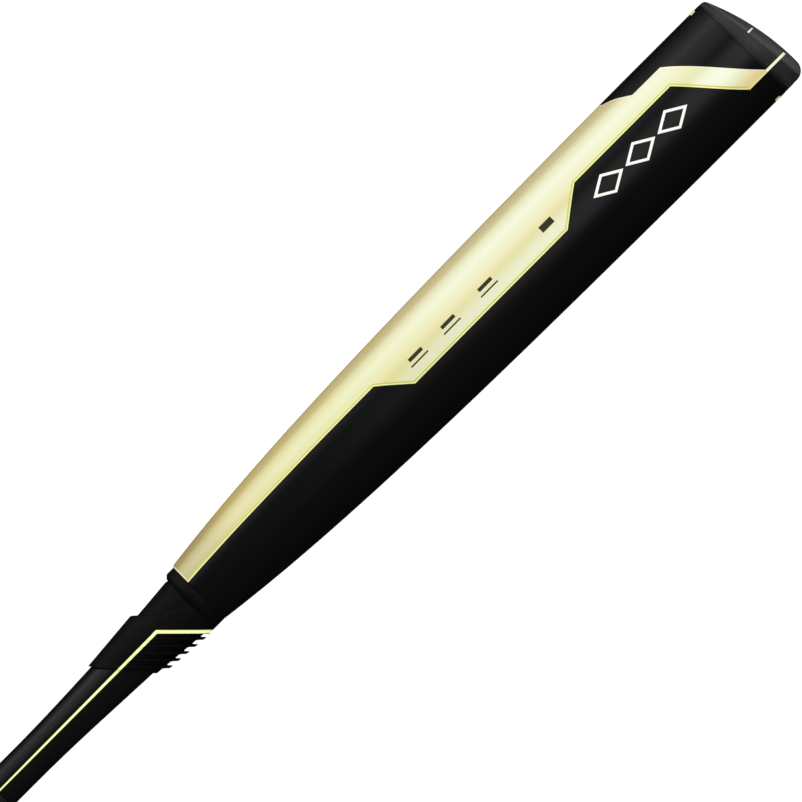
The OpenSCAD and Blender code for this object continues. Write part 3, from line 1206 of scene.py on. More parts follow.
@dataclass
class EndCap:
    """The moulded cap: tapered ribbed side wall, domed end face sloped to +Y, and hollow plug."""

    place: BatFrame
    dresser: Dresser
    step: float = 0.1 * MM
    draft: float = 0.2 * MM
    low_height: float = 3.7 * MM
    dome_in: float = 2.3 * MM
    dome_edge: float = 6.0 * MM
    low_round: float = 2.4 * MM
    high_round: float = 7.0 * MM
    plug_length: float = 22 * MM
    plug_radius: float = 28.9375 * MM
    plug_wall: float = 5 * MM
    cup: float = 18 * MM
    rib_count: int = 168
    rib_start: float = 0.35 * MM
    rib_share: float = 0.8
    rib_length: float = 5.6 * MM
    rib_radius: float = 0.38 * MM
    rib_sink: float = 0.2 * MM
    rib_sides: int = 8
    seam_round: float = 0.25 * MM
    plug_chamfer: float = 0.4 * MM
    rounds: int = 192
    round_steps: int = 10
    dome_steps: int = 26
    # printed lines, in millimetres
    stripe_half: float = 0.77
    line_half: float = 0.45
    line_across: float = 4.0
    line_from: float = 829.8
    stripe_inner: float = 28.5
    line_inner: float = 22.0
    plastic: Finish = Finish(
        "cap_charcoal", srgb(38, 38, 40), 0.5, wear=0.12, grain_scale=1500, grain_depth=0.00004, specular=0.45
    )
    # painted highlight: the ribs' charcoal lighter than the cap's own
    lit_rib_plastic: Finish = Finish("rib_charcoal", srgb(56, 56, 58), 0.5, wear=0.12, specular=0.45)
    wall_shades: tuple[Colour, Colour] = (srgb(28, 28, 30), srgb(46, 46, 48))
    lit_face_shades: tuple[Colour, Colour] = (srgb(50, 50, 52), srgb(84, 84, 86))
    shade_between_ribs: Colour = srgb(12, 12, 13)
    # how far the handling marks and the grain shift those shades, and the shift at rest
    wall_speck: tuple[float, float] = (2.0, 0.4)
    face_fleck: tuple[float, float] = (3.0, -1.0)
    face_margin: float = 0.5

    @property
    def side_radius(self) -> float:
        """Radius of the side wall at its top."""
        return self.place.barrel_r - self.step - self.draft

    def dome(self) -> tuple[Vector, float]:
        """Places the end face's dome, which leans to +Y.

        Returns:
            Its centre, on the bat's own axis height, and its radius.
        """
        offset = self.side_radius - self.dome_edge - self.dome_in
        fall = self.place.tip_x - self.place.seam_x - self.low_height
        radius = ((self.side_radius + offset) ** 2 + fall**2) / (2 * fall)
        return Vector((self.place.tip_x - radius, -offset, self.place.axis_z)), radius

    def edge(self, angle: float) -> tuple[Vector, Vector, float]:
        """Rolls the edge's ball round the cap.

        Args:
            angle: direction round the axis, from +Y, in radians.

        Returns:
            The ball's centre, the direction in which it meets the dome, and its radius.
        """
        lean = (1 - math.cos(angle)) / 2
        ball = self.low_round + (self.high_round - self.low_round) * lean
        centre, radius = self.dome()
        reach = self.side_radius - ball
        y, z = reach * math.cos(angle), self.place.axis_z + reach * math.sin(angle)
        flat = (y - centre.y) ** 2 + (z - centre.z) ** 2
        middle = Vector((centre.x + math.sqrt((radius - ball) ** 2 - flat), y, z))
        return middle, (middle - centre).normalized(), ball

    def build(self) -> list[Object]:
        """Builds the cap's body and its ribs.

        Returns:
            Both pieces.
        """
        centre, radius = self.dome()
        angles = [2 * math.pi * k / self.rounds for k in range(self.rounds)]
        edges = [self.edge(a) for a in angles]
        out = [Vector((0, math.cos(a), math.sin(a))) for a in angles]
        plug_x = self.place.seam_x - self.plug_length
        floor_x = plug_x + self.cup
        seam_r = self.place.barrel_r - self.step
        outline = (
            (floor_x, self.plug_radius - self.plug_wall),
            (plug_x, self.plug_radius - self.plug_wall),
            (plug_x, self.plug_radius - self.plug_chamfer),
            (plug_x + self.plug_chamfer, self.plug_radius),
            (self.place.seam_x, self.plug_radius),
            (self.place.seam_x, seam_r - self.seam_round),
            (self.place.seam_x + self.seam_round, seam_r),
        )
        rings = [turned_ring(x, r, self.place.axis_z, self.rounds) for x, r in outline]
        for i in range(self.round_steps + 1):
            turn = i / self.round_steps
            pairs = zip(out, edges)
            ring = [middle + side.slerp(up, turn) * ball for side, (middle, up, ball) in pairs]
            rings.append(np.array(ring))
        last = rings[-1]
        for i in range(1, self.dome_steps):
            share = 1 - (i / self.dome_steps)
            y, z = last[:, 1] * share, self.place.axis_z + (last[:, 2] - self.place.axis_z) * share
            x = centre.x + np.sqrt(radius**2 - (y - centre.y) ** 2 - (z - centre.z) ** 2)
            rings.append(np.stack([x, y, z], axis=1))
        top = centre.x + math.sqrt(radius**2 - centre.y**2)
        maker = MeshMaker("cap_body")
        maker.loft(rings, (floor_x, 0, self.place.axis_z), (top, 0, self.place.axis_z))
        body = maker.finish(self.dress(), sharp=40)
        finish_piece(body, Slot.CAP, "end_cap")
        ribs = self.ribs()
        finish_piece(ribs, Slot.CAP)
        return [body, ribs]

    def ribs(self) -> Object:
        """Grows the fine ribs round the side wall, shorter where the wall is low.

        Returns:
            All the ribs as one piece.
        """
        low = self.edge(0.0)[0].x - self.place.seam_x
        tree = GeometryTree(
            "ribs_round_the_cap",
            {
                "Seam": self.place.seam_x + self.rib_start,
                "Length": self.rib_length,
                "Low Length": low,
                "Radius": self.side_radius - self.rib_sink,
                "Rib Radius": self.rib_radius,
                "Axis Height": self.place.axis_z,
            },
            {"Count": self.rib_count},
        )
        given = tree.source
        points = tree.node("GeometryNodeMeshLine")
        tree.feed(points.inputs["Count"], given["Count"])
        tree.feed(points.inputs["Offset"], (0, 0, 0))
        index = tree.node("GeometryNodeInputIndex").outputs[0]
        angle = tree.product(tree.math("DIVIDE", index, given["Count"]), 2 * math.pi)
        cosine = tree.math("COSINE", angle)
        where = tree.node("ShaderNodeCombineXYZ")
        tree.feed(where.inputs[0], given["Seam"])
        tree.feed(where.inputs[1], tree.product(given["Radius"], cosine))
        up = tree.product(given["Radius"], tree.math("SINE", angle))
        tree.feed(where.inputs[2], tree.math("ADD", up, given["Axis Height"]))
        spread = tree.node("GeometryNodeSetPosition")
        tree.feed(spread.inputs["Geometry"], points.outputs[0])
        tree.feed(spread.inputs["Position"], where.outputs[0])
        line = tree.node("GeometryNodeCurvePrimitiveLine")
        tree.feed(line.inputs["End"], (1, 0, 0))
        profile = tree.node("GeometryNodeCurvePrimitiveCircle")
        tree.feed(profile.inputs["Resolution"], self.rib_sides)
        tree.feed(profile.inputs["Radius"], given["Rib Radius"])
        rod = tree.node("GeometryNodeCurveToMesh")
        tree.feed(rod.inputs["Curve"], line.outputs[0])
        tree.feed(rod.inputs["Profile Curve"], profile.outputs[0])
        tree.feed(rod.inputs["Fill Caps"], True)
        # the wall grows from its low side to its high side as the face slopes
        slope = tree.product(tree.math("SUBTRACT", 1.0, cosine), self.side_radius)
        rise = tree.product(slope, self.wall_slope())
        room = tree.product(tree.math("ADD", given["Low Length"], rise), self.rib_share)
        length = tree.math("MINIMUM", given["Length"], room)
        size = tree.node("ShaderNodeCombineXYZ")
        for socket, value in zip(size.inputs, (length, 1.0, 1.0)):
            tree.feed(socket, value)
        copy = tree.node("GeometryNodeInstanceOnPoints")
        tree.feed(copy.inputs["Points"], spread.outputs[0])
        tree.feed(copy.inputs["Instance"], rod.outputs[0])
        tree.feed(copy.inputs["Scale"], size.outputs[0])
        return tree.grow("cap_ribs", copy.outputs[0], self.dress_ribs(), sharp=40)

    def wall_slope(self) -> float:
        """Returns how much the side wall's height grows for each step from +Y to -Y."""
        low, high = self.edge(0.0)[0].x, self.edge(math.pi)[0].x
        return (high - low) / (2 * self.side_radius)

    def rib_end(self, graph: Graph, y: Value) -> Value:
        """Finds where the ribs end.

        Args:
            graph: the tree to build in.
            y: millimetres across to +Y.

        Returns:
            Millimetres from the heel.
        """
        low = (self.edge(0.0)[0].x - self.place.seam_x) / MM
        slope = self.wall_slope()
        middle = low + slope * self.side_radius / MM
        room = graph.math("MULTIPLY_ADD", y, -slope * self.rib_share, self.rib_share * middle)
        start = (self.place.seam_x + self.rib_start - self.place.heel_x) / MM
        return graph.math("ADD", graph.math("MINIMUM", room, self.rib_length / MM), start)

    def printed(self, graph: Graph) -> tuple[Value, Value, Value, Value]:
        """Finds the bands' stripe and the thin line that run over the cap's edge.

        Args:
            graph: the tree to build in.

        Returns:
            Millimetres from the heel, across to +Y, off the axis, and the mask of both lines.
        """
        along, y, up = self.dresser.bat_coordinates(graph)
        radius = graph.length(y, up)
        stripe_y = self.place.barrel_r / MM * math.cos(math.radians(STRIPE_TURN))
        stripe = graph.below(graph.off(y, stripe_y), self.stripe_half, LINE_SOFT)
        stripe = graph.product(stripe, graph.below(self.stripe_inner, radius, LINE_SOFT))
        line = graph.below(graph.off(y, self.line_across), self.line_half, LINE_FINE)
        begun = graph.below(self.line_from, along, LINE_HAZE)
        line = graph.product(line, begun, graph.below(self.line_inner, radius, LINE_SOFT))
        return along, y, radius, graph.math("MAXIMUM", stripe, line)

    def dress(self) -> Material:
        """Makes the charcoal plastic: painted shade between the ribs, the end face painted lighter as a
        highlight with random flecks, printed lines.

        Returns:
            The material.
        """
        graph, shader, grain = self.dresser.start(self.plastic)
        along, y, radius, mask = self.printed(graph)
        on_wall = graph.below((self.place.seam_x - self.place.heel_x) / MM, along, LINE_SOFT)
        speck = graph.math("MULTIPLY_ADD", grain.outputs["Marks"], *self.wall_speck)
        wall = graph.blend(speck, *self.wall_shades)
        # painted shade between the ribs
        wall = graph.blend(graph.below(along, self.rib_end(graph, y), LINE_HAZE), wall, self.shade_between_ribs)
        # painted highlight: the end face lighter than the wall, with random flecks
        fleck = graph.math("MULTIPLY_ADD", grain.outputs["Height"], *self.face_fleck)
        face = graph.blend(fleck, *self.lit_face_shades)
        on_face = graph.below(radius, self.side_radius / MM - self.face_margin, 2 * LINE_HAZE)
        base = graph.blend(on_face, wall, face)
        colour = graph.blend(graph.product(mask, on_wall), base, STRIPE_PALE)
        graph.feed(shader.inputs["Base Color"], colour)
        return material_of(graph)

    def dress_ribs(self) -> Material:
        """Makes the ribs' charcoal, painted lighter than the cap's as a highlight on their tops, with the
        stripe printed over them.

        Returns:
            The material.
        """
        graph, shader, _ = self.dresser.start(self.lit_rib_plastic)
        mask = self.printed(graph)[3]
        graph.feed(shader.inputs["Base Color"], graph.blend(mask, self.lit_rib_plastic.colour, STRIPE_PALE))
        return material_of(graph)


# ---------------------------------------------------------------- handle


@dataclass
class Handle:
    """The composite handle: round tube that flares into the coupling."""

    place: BatFrame
    dresser: Dresser
    radius: float = 10.85 * MM
    spigot_radius: float = 14.6 * MM
    flare_length: float = 125 * MM
    wall: float = 2.4 * MM
    butt: float = 12 * MM
    flare_steps: int = 64
    rounds: int = 160
    # the pale line, in millimetres
    line_start: float = 251.0
    line_width: float = 0.9
    line_growth: float = 0.007
    line_across: float = 0.35
    line_drift: float = 0.005
    skirt_line: float = 374.4
    skirt_width: float = 1.9
    core_share: float = 0.5
    core_soft: float = 0.4
    rub: Rub = Rub(rest=0.3, reach=1.5, gain=1.6, lift=0.001)
    inks: tuple[Colour, Colour] = (srgb(244, 250, 160), srgb(254, 255, 206))
    satin: Finish = Finish(
        "handle_satin", srgb(9, 9, 9), 0.34, wear=0.14, grain_scale=1100, grain_depth=0.000006, specular=0.3
    )

    def outside(self, x: float) -> float:
        """Returns the tube's outside radius at a place along the bat."""
        start = self.place.lip_x - self.flare_length
        return self.radius + (self.spigot_radius - self.radius) * ease((x - start) / self.flare_length)

    def build(self) -> Object:
        """Turns the tube from its outline.

        Returns:
            The finished piece.
        """
        _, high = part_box("handle_tube")
        start = self.place.heel_x + self.butt
        flare = self.place.lip_x - self.flare_length
        steps = self.flare_steps
        places = [start, *(flare + self.flare_length * i / steps for i in range(steps + 1)), high.x]
        outer = [(x, self.outside(x)) for x in places]
        inner = [(x, r - self.wall) for x, r in reversed(outer)]
        maker = MeshMaker("handle_body")
        maker.loft([turned_ring(x, r, self.place.axis_z, self.rounds) for x, r in outer + inner])
        piece = maker.finish(self.dress(), sharp=40)
        finish_piece(piece, Slot.HANDLE, "handle_tube")
        return piece

    def line_mask(self, graph: Graph) -> NodeSocket:
        """Returns the mask of the pale line: along the bat, then down the collar ring's slanted skirt.

        Args:
            graph: the tree to build in.

        Returns:
            0 off the line, rising to 1 in its middle.
        """
        along, y, off_long, half = self.long_line(graph)
        slanted = graph.math("ADD", along, y)
        skirt_half = self.skirt_width / 2
        mitre = self.skirt_line + skirt_half * math.sqrt(2)
        outer = self.line_across + self.line_drift * (self.skirt_line - self.line_start) + skirt_half
        long_part = graph.product(
            graph.below(off_long, half, LINE_FINE),
            graph.below(slanted, mitre, LINE_FINE),
            graph.below(self.line_start, along, LINE_HAZE),
        )
        off_slant = graph.product(graph.off(slanted, self.skirt_line), math.sqrt(0.5))
        slant_part = graph.product(
            graph.below(off_slant, skirt_half, LINE_FINE),
            graph.below(y, outer, LINE_FINE),
        )
        return graph.math("MAXIMUM", long_part, slant_part)

    def long_line(self, graph: Graph) -> tuple[Value, Value, Value, Value]:
        """Follows the part of the pale line that runs along the bat and widens towards the collar.

        Args:
            graph: the tree to build in.

        Returns:
            Millimetres from the heel, across to +Y, off the line's middle, and half its width.
        """
        along, y, _ = self.dresser.bat_coordinates(graph)
        run = graph.math("SUBTRACT", along, self.line_start)
        middle = graph.math("MULTIPLY_ADD", run, self.line_drift, self.line_across)
        half = graph.math("MULTIPLY_ADD", run, self.line_growth / 2, self.line_width / 2)
        return along, y, graph.off(y, middle), half

    def line_core(self, graph: Graph) -> NodeSocket:
        """Masks the line's paler middle.

        Args:
            graph: the tree to build in.

        Returns:
            1 in the middle and 0 outside it.
        """
        along, y, off_long, half = self.long_line(graph)
        off_slant = graph.product(graph.off(graph.math("ADD", along, y), self.skirt_line), math.sqrt(0.5))
        nearer = graph.math("MINIMUM", off_long, off_slant)
        return graph.below(nearer, graph.product(half, self.core_share), self.core_soft)

    def lined(self, finish: Finish) -> Material:
        """Makes a black finish that carries the pale line.

        Args:
            finish: the surface values.

        Returns:
            The material.
        """
        graph, shader, grain = self.dresser.start(finish)
        base = self.dresser.rubbed(graph, grain, finish.colour, self.rub)
        ink = graph.blend(self.line_core(graph), *self.inks)
        graph.feed(shader.inputs["Base Color"], graph.blend(self.line_mask(graph), base, ink))
        return material_of(graph)

    def dress(self) -> Material:
        """Makes the handle's satin black."""
        return self.lined(self.satin)


# ---------------------------------------------------------------- collar


@dataclass(frozen=True)
class Tier:
    """One ring of a collar piece: a slanted plane and the circle that it cuts.

    The plane crosses the axis at place, in millimetres from the heel, and leans by slant degrees.
    The circle grows along the bat from radius at the lip by taper, and lies shift towards +Y.
    """

    place: float
    slant: float
    radius: float
    taper: float = 0.0
    shift: float = 0.0


@dataclass
class Collar:
    """The rubber boot with its fins, and the plastic ring with its slanted skirt."""

    place: BatFrame
    handle: Handle
    boot_length: float = 52
    boot_radius: float = 16.7
    edge_wall: float = 1.4
    band_height: float = 2.3
    band_shift: float = 0.5
    shoulder_back: float = 10.6
    edge_slant: float = 39
    fin_slant: float = 45
    fin_count: int = 5
    fin_start: float = 2.4
    fin_pitch: float = 5.45
    fin_width: float = 2.35
    fin_height: float = 1.9
    lip_radius: float = 19.6
    lip_shift: float = 0.4
    lip_chamfer: float = 1.8
    skirt_back: float = 24.4
    skirt_shift: float = 3.2
    groove: float = 0.9
    soft: float = 0.35
    skirt_tuck: float = 3.0
    lip_back: float = 0.2
    lip_land: float = 0.4
    ring_edge: float = 0.15
    ring_top: float = 0.5
    seat: float = 0.3
    # places inside the boot, back from the groove
    inside_back: tuple[float, ...] = (6.0, 20.0, 34.0)
    cut_inset: float = 0.5
    cut_reach: float = 5.0
    fin_root: float = 0.9
    neck_steps: int = 8
    skirt_steps: int = 10
    settle_rounds: int = 6
    rounds: int = 224
    rubber: Finish = Finish(
        "boot_black", srgb(6, 6, 6), 0.62, wear=0.10, grain_scale=2200, grain_depth=0.00003, specular=0.14
    )
    plastic: Finish = Finish(
        "ring_black", srgb(6, 6, 6), 0.55, wear=0.10, grain_scale=1800, grain_depth=0.00002, specular=0.14
    )

    @property
    def lip(self) -> float:
        """Place of the lip in millimetres from the heel."""
        return (self.place.lip_x - self.place.heel_x) / MM

    @property
    def taper(self) -> float:
        """Works out the boot's taper.

        Returns:
            Growth of its radius for each millimetre along the bat.
        """
        edge = self.place.lip_x - self.boot_length * MM
        edge_radius = self.handle.outside(edge) / MM + self.edge_wall - self.band_height
        return (self.boot_radius - edge_radius) / self.boot_length

    def ring(self, tier: Tier) -> Ring:
        """Cuts a tier's cone with its plane, and keeps the cut between the boot's two ends.

        Args:
            tier: the plane and the cone.

        Returns:
            The points of the cut, in metres.
        """
        angles = np.linspace(0, 2 * np.pi, self.rounds, endpoint=False)
        lean = math.tan(math.radians(tier.slant))
        edge_lean = math.tan(math.radians(self.edge_slant))
        edge = self.lip - self.boot_length
        along = np.full(self.rounds, tier.place)
        reach = np.full(self.rounds, tier.radius)
        for _ in range(self.settle_rounds):
            radius = tier.radius + tier.taper * (along - self.lip)
            reach = tier.shift * np.cos(angles) + np.sqrt(radius**2 - (tier.shift * np.sin(angles)) ** 2)
            y = reach * np.cos(angles)
            along = tier.place - y * lean
            if tier.taper:
                along = np.clip(along, edge - y * edge_lean, self.lip - self.groove)
        heel, axis = self.place.heel_x, self.place.axis_z
        return np.stack([heel + along * MM, y * MM, axis + reach * np.sin(angles) * MM], axis=1)

    def band(self, place: float, slant: float, sink: float = 0.0) -> Ring:
        """Returns a ring on the raised band, sunk into it by sink."""
        radius = self.boot_radius + self.band_height - sink
        return self.ring(Tier(place, slant, radius, self.taper, self.band_shift))

    def fin(self, place: float, sink: float = 0.0) -> Ring:
        """Follows the fins' tips where they stand proud of the band, and the band elsewhere.

        Args:
            place: millimetres from the heel.
            sink: how far below the tips.

        Returns:
            The ring's points.
        """
        shift = (self.fin_height + self.band_shift) / 2
        rise = self.band_height + shift - self.band_shift
        tips = Tier(place, self.fin_slant, self.boot_radius + rise - sink, self.taper, -shift)
        return outermost(self.ring(tips), self.band(place, self.fin_slant), self.place.axis_z)

    def fin_rings(self, top: float) -> list[Ring]:
        """Lofts one fin out of the band and back.

        Args:
            top: place of its upper side, in millimetres from the heel.

        Returns:
            Its rings in order.
        """
        foot, soft, root = top - self.fin_width, self.soft, self.fin_height * self.fin_root
        rise = ((foot, root), (foot + 0.2 * soft, soft), (foot + soft, 0.0))
        fall = ((top - soft, 0.0), (top - 0.2 * soft, soft), (top, root))
        before, after = self.band(foot - soft, self.fin_slant), self.band(top + soft, self.fin_slant)
        return [before, *(self.fin(at, sink) for at, sink in rise + fall), after]

    def build(self) -> list[Object]:
        """Builds the boot and the ring.

        Returns:
            Both pieces.
        """
        boot, ring = self.build_boot(), self.build_ring()
        finish_piece(boot, Slot.BOOT, "collar_boot")
        finish_piece(ring, Slot.RING, "collar_ring")
        return [boot, ring]

    def build_boot(self) -> Object:
        """Lofts the boot from slanted rings: cut edge, band with fins, shoulder, plain neck and groove.

        Returns:
            The finished piece.
        """
        edge, shoulder = self.lip - self.boot_length, self.lip - self.shoulder_back
        end, soft = self.lip - self.groove, self.soft
        cut = ((0.0, soft), (0.3 * soft, 0.3 * soft), (soft, 0.0))
        rings = [self.band(edge + on, self.edge_slant, sink) for on, sink in cut]
        for i in reversed(range(self.fin_count)):
            rings += self.fin_rings(self.lip - self.skirt_back - self.fin_start - i * self.fin_pitch)
        fall = ((-2 * soft, 0.0), (-0.4 * soft, 0.4 * soft), (0.0, 1.6 * soft))
        rings += [self.band(shoulder + on, self.fin_slant, sink) for on, sink in fall]
        start = shoulder + soft
        for i in range(self.neck_steps + 1):
            share = i / self.neck_steps
            at, slant = start + (end - start) * share, self.fin_slant * (1 - share)
            rings.append(self.ring(Tier(at, slant, self.boot_radius, self.taper)))
        rings += [self.ring(Tier(at, 0, self.boot_radius - self.groove)) for at in (end, self.lip)]
        for at in (self.lip, *(end - back for back in self.inside_back)):
            rings.append(self.ring(Tier(at, 0, self.inner(at))))
        inner = self.inner(edge + self.cut_reach)
        rings.append(self.ring(Tier(edge + self.cut_inset, self.edge_slant, inner)))
        maker = MeshMaker("boot_body")
        maker.loft(rings)
        return maker.finish(self.handle.lined(self.rubber), sharp=38)

    def inner(self, at: float) -> float:
        """Returns the radius of the handle inside the boot at a place, in millimetres."""
        return self.handle.outside(self.place.along(at)) / MM

    def build_ring(self) -> Object:
        """Lofts the ring: slanted skirt on the hitting side, chamfered lip all round.

        Returns:
            The finished piece.
        """
        skirt, lip, soft, edge = self.lip - self.skirt_back, self.lip, self.soft, self.ring_edge
        mouth = (self.place.mouth_x - self.place.heel_x) / MM
        skirt_radius = self.lip_radius + self.lip_shift - self.skirt_shift

        def skirt_ring(at: float, slant: float, sink: float = 0.0) -> Ring:
            """Returns a ring on the skirt's circle."""
            return self.ring(Tier(at, slant, skirt_radius - sink, 0.0, -self.skirt_shift))

        def lip_ring(at: float, sink: float) -> Ring:
            """Returns a ring on the lip's circle, no lower than the skirt's."""
            ring = self.ring(Tier(at, 0, self.lip_radius - sink, 0.0, -self.lip_shift))
            return outermost(ring, skirt_ring(at, 0), self.place.axis_z)

        rise = ((0.0, self.skirt_tuck), (0.0, soft), (0.4 * soft, 0.25 * soft), (soft, 0.0))
        rings = [skirt_ring(skirt + on, self.fin_slant, sink) for on, sink in rise]
        start, length = skirt + soft, lip - self.lip_back - skirt - soft
        for i in range(1, self.skirt_steps + 1):
            share = i / self.skirt_steps
            rings.append(skirt_ring(start + length * share, self.fin_slant * (1 - share)))
        chamfer = self.lip_chamfer
        outside = (
            (lip, chamfer + self.lip_back),
            (lip + edge, chamfer),
            (lip + chamfer, edge),
            (lip + chamfer + self.lip_land, 0.0),
            (mouth - self.ring_top, 0.0),
            (mouth - edge, edge),
        )
        rings += [lip_ring(at, sink) for at, sink in outside]
        rings.append(self.ring(Tier(mouth, 0, self.lip_radius - self.ring_top, 0.0, -self.lip_shift)))
        rings += [self.ring(Tier(at, 0, self.boot_radius - self.seat)) for at in (mouth, lip)]
        maker = MeshMaker("ring_body")
        maker.loft(rings)
        return maker.finish(self.handle.lined(self.plastic), sharp=38)


# ---------------------------------------------------------------- knob and grip


@dataclass
class KnobForm:
    """The oval rings that the knob and the grip's lower end share."""

    place: BatFrame
    length: float = 110
    toe: float = 31
    heel: float = 14.5
    half: float = 16
    skirt: float = 11.25
    slant: float = 14
    edge: float = 5
    handle: float = 10.85
    toe_power: float = 3.2
    heel_power: float = 2.0
    flank_power: float = 2.2
    facets: int = 48

    @property
    def snug(self) -> float:
        """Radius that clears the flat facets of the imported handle."""
        return self.handle / math.cos(math.pi / self.facets)

    @property
    def slope(self) -> float:
        """Rise of the end face for each millimetre across."""
        return math.tan(math.radians(self.slant))

    @property
    def end_plane(self) -> float:
        """Where the end face's plane crosses the axis."""
        return self.heel * self.slope - self.edge * (self.slope + 1 - math.sqrt(1 + self.slope**2))

    def station(self, at: float) -> float:
        """Returns the station of a place on the axis, 0 at the skirt's thin end."""
        return (self.length - at) / (self.length - self.end_plane - self.edge)

    def place_of(self, u: float) -> float:
        """Returns the place on the axis of station u, 0 at the skirt's thin end and 1 at the edge."""
        return self.length - (self.length - self.end_plane - self.edge) * u

    def ring(self, u: float, at: float, inset: float | Ring, count: int) -> Ring:
        """Returns one oval ring in a leaning plane.

        Args:
            u: station, which sets the oval and the plane's lean.
            at: place on the axis in millimetres from the heel.
            inset: how far the oval shrinks, one number or one for each point.
            count: points in the ring.

        Returns:
            The ring's points, in metres.
        """
        a = np.linspace(0, 2 * np.pi, count, endpoint=False)
        u = max(0.0, u)
        toe = self.skirt + (self.toe - self.skirt) * u**self.toe_power - inset
        heel = self.skirt + (self.heel - self.skirt) * u**self.heel_power - inset
        half = self.skirt + (self.half - self.skirt) * u**self.flank_power - inset
        v = (toe - heel) / 2 + (toe + heel) / 2 * np.cos(a)
        x = at + v * self.slope * u * u
        height = self.place.axis_z + half * np.sin(a) * MM
        return np.stack([self.place.heel_x + x * MM, -v * MM, height], axis=1)

    def end_frame(self) -> Matrix:
        """Finds the badge's frame.

        Returns:
            The frame, with its middle on the end face and Z out of the face.
        """
        v = (self.toe - self.heel) / 2
        angle = math.radians(self.slant)
        out = Vector((-math.cos(angle), -math.sin(angle), 0))
        across = Vector((-out.y, out.x, 0))
        up = out.cross(across)
        middle = Vector((self.place.along(self.end_plane + v * self.slope), -v * MM, self.place.axis_z))
        turn = Matrix((across, up, out)).transposed().to_4x4()
        return Matrix.Translation(middle) @ turn


@dataclass
class Knob:
    """The oval, slanted knob with its badge."""

    place: BatFrame
    dresser: Dresser
    form: KnobForm
    butt: float = 12
    badge_radius: float = 10
    badge_depth: float = 1.2
    badge_gap: float = 0.05
    # rim of the badge's recess, and the badge's two raised rings, as (off the recess's wall, height)
    recess: Points = ((0.5, 0.0), (0.1, -0.15))
    raised: Points = (
        (0.05, -0.35), (0.3, -0.1), (1.4, -0.1), (1.7, -0.4), (4.4, -0.4), (4.7, -0.1), (5.6, -0.1),
        (5.9, -0.4),
    )
    badge_middle: float = -0.25
    count: int = 128
    stations: int = 56
    round_steps: int = 12
    plastic: Finish = Finish(
        "knob_black", srgb(22, 22, 24), 0.45, wear=0.14, grain_scale=1600, grain_depth=0.00002
    )
    plate: Finish = Finish(
        "badge_champagne",
        srgb(226, 216, 160),
        0.3,
        metallic=0.25,
        wear=0.15,
        grain_scale=1500,
        grain_depth=0.000004,
    )

    def face_ring(self, radius: float, height: float, mirror: bool = False) -> Ring:
        """Places a circle on the end face.

        Args:
            radius: its radius in millimetres.
            height: how far out of the face it lies.
            mirror: True to count it from the other side.

        Returns:
            Its points, in metres.
        """
        frame_at = self.form.end_frame()
        side = -1 if mirror else 1
        points = []
        for k in range(self.count):
            a = 2 * math.pi * k / self.count
            flat = Vector((side * radius * math.cos(a), radius * math.sin(a), height)) * MM
            points.append(frame_at @ flat)
        return np.array(points)

    def socket(self, at: float) -> Ring:
        """Makes a ring of the handle's bore, counted from -Y as the ovals are.

        Args:
            at: millimetres from the heel.

        Returns:
            Its points, in metres.
        """
        radius = self.form.handle * MM
        circle = turned_ring(self.place.along(at), radius, self.place.axis_z, self.count)
        return circle * np.array([1, -1, 1])

    def aligned(self, ring: Ring) -> Ring:
        """Reorders a circle so that it starts at the toe and turns as the ovals do.

        Args:
            ring: the circle's points.

        Returns:
            The same points in the order nearest to the last oval's.
        """
        oval = self.form.ring(1.0, self.form.place_of(1.0), 0.0, self.count)
        turned_back = np.concatenate([ring[:1], ring[:0:-1]])
        shifts = (0, self.count // 2)
        options = [np.roll(order, shift, axis=0) for order in (ring, turned_back) for shift in shifts]
        return min(options, key=lambda option: float(np.linalg.norm(option - oval, axis=1).sum()))

    def build(self) -> list[Object]:
        """Lofts the knob from its oval rings and sinks the badge into it.

        Returns:
            The knob and the badge.
        """
        form = self.form
        ends = form.place_of(1.0)
        rings = [self.socket(at) for at in (self.butt, form.length)]
        for i in range(self.stations + 1):
            u = i / self.stations
            rings.append(form.ring(u, form.place_of(u), 0.0, self.count))
        for j in range(1, self.round_steps + 1):
            a = math.pi / 2 * j / self.round_steps
            at, inset = ends - form.edge * math.sin(a), form.edge * (1 - math.cos(a))
            rings.append(form.ring(1.0, at, inset, self.count))
        for off, height in (*self.recess, (0.0, -self.badge_depth)):
            circle = self.face_ring(self.badge_radius + off, height, mirror=True)
            rings.append(self.aligned(circle))
        centre = self.form.end_frame() @ Vector((0, 0, -self.badge_depth * MM))
        maker = MeshMaker("knob_body")
        start = (self.place.along(self.butt), 0.0, self.place.axis_z)
        maker.loft(rings, start, tuple(centre))
        body = maker.finish(self.dresser.plain(self.plastic), sharp=42)
        finish_piece(body, Slot.KNOB, "knob")
        badge = self.build_badge()
        finish_piece(badge, Slot.BADGE, "knob_badge")
        return [body, badge]

    def build_badge(self) -> Object:
        """Turns the badge, a plain disc with two raised rings, and sets it in the end face.

        Returns:
            The finished piece.
        """
        place = self.form.end_frame()
        outline = ((self.badge_gap, -self.badge_depth), *self.raised)
        rings = [self.face_ring(self.badge_radius - off, height) for off, height in outline]
        ends = [place @ Vector((0, 0, height * MM)) for height in (-self.badge_depth, self.badge_middle)]
        maker = MeshMaker("badge_plate")
        maker.loft(rings, tuple(ends[0]), tuple(ends[1]))
        return maker.finish(self.dresser.plain(self.plate), sharp=30)


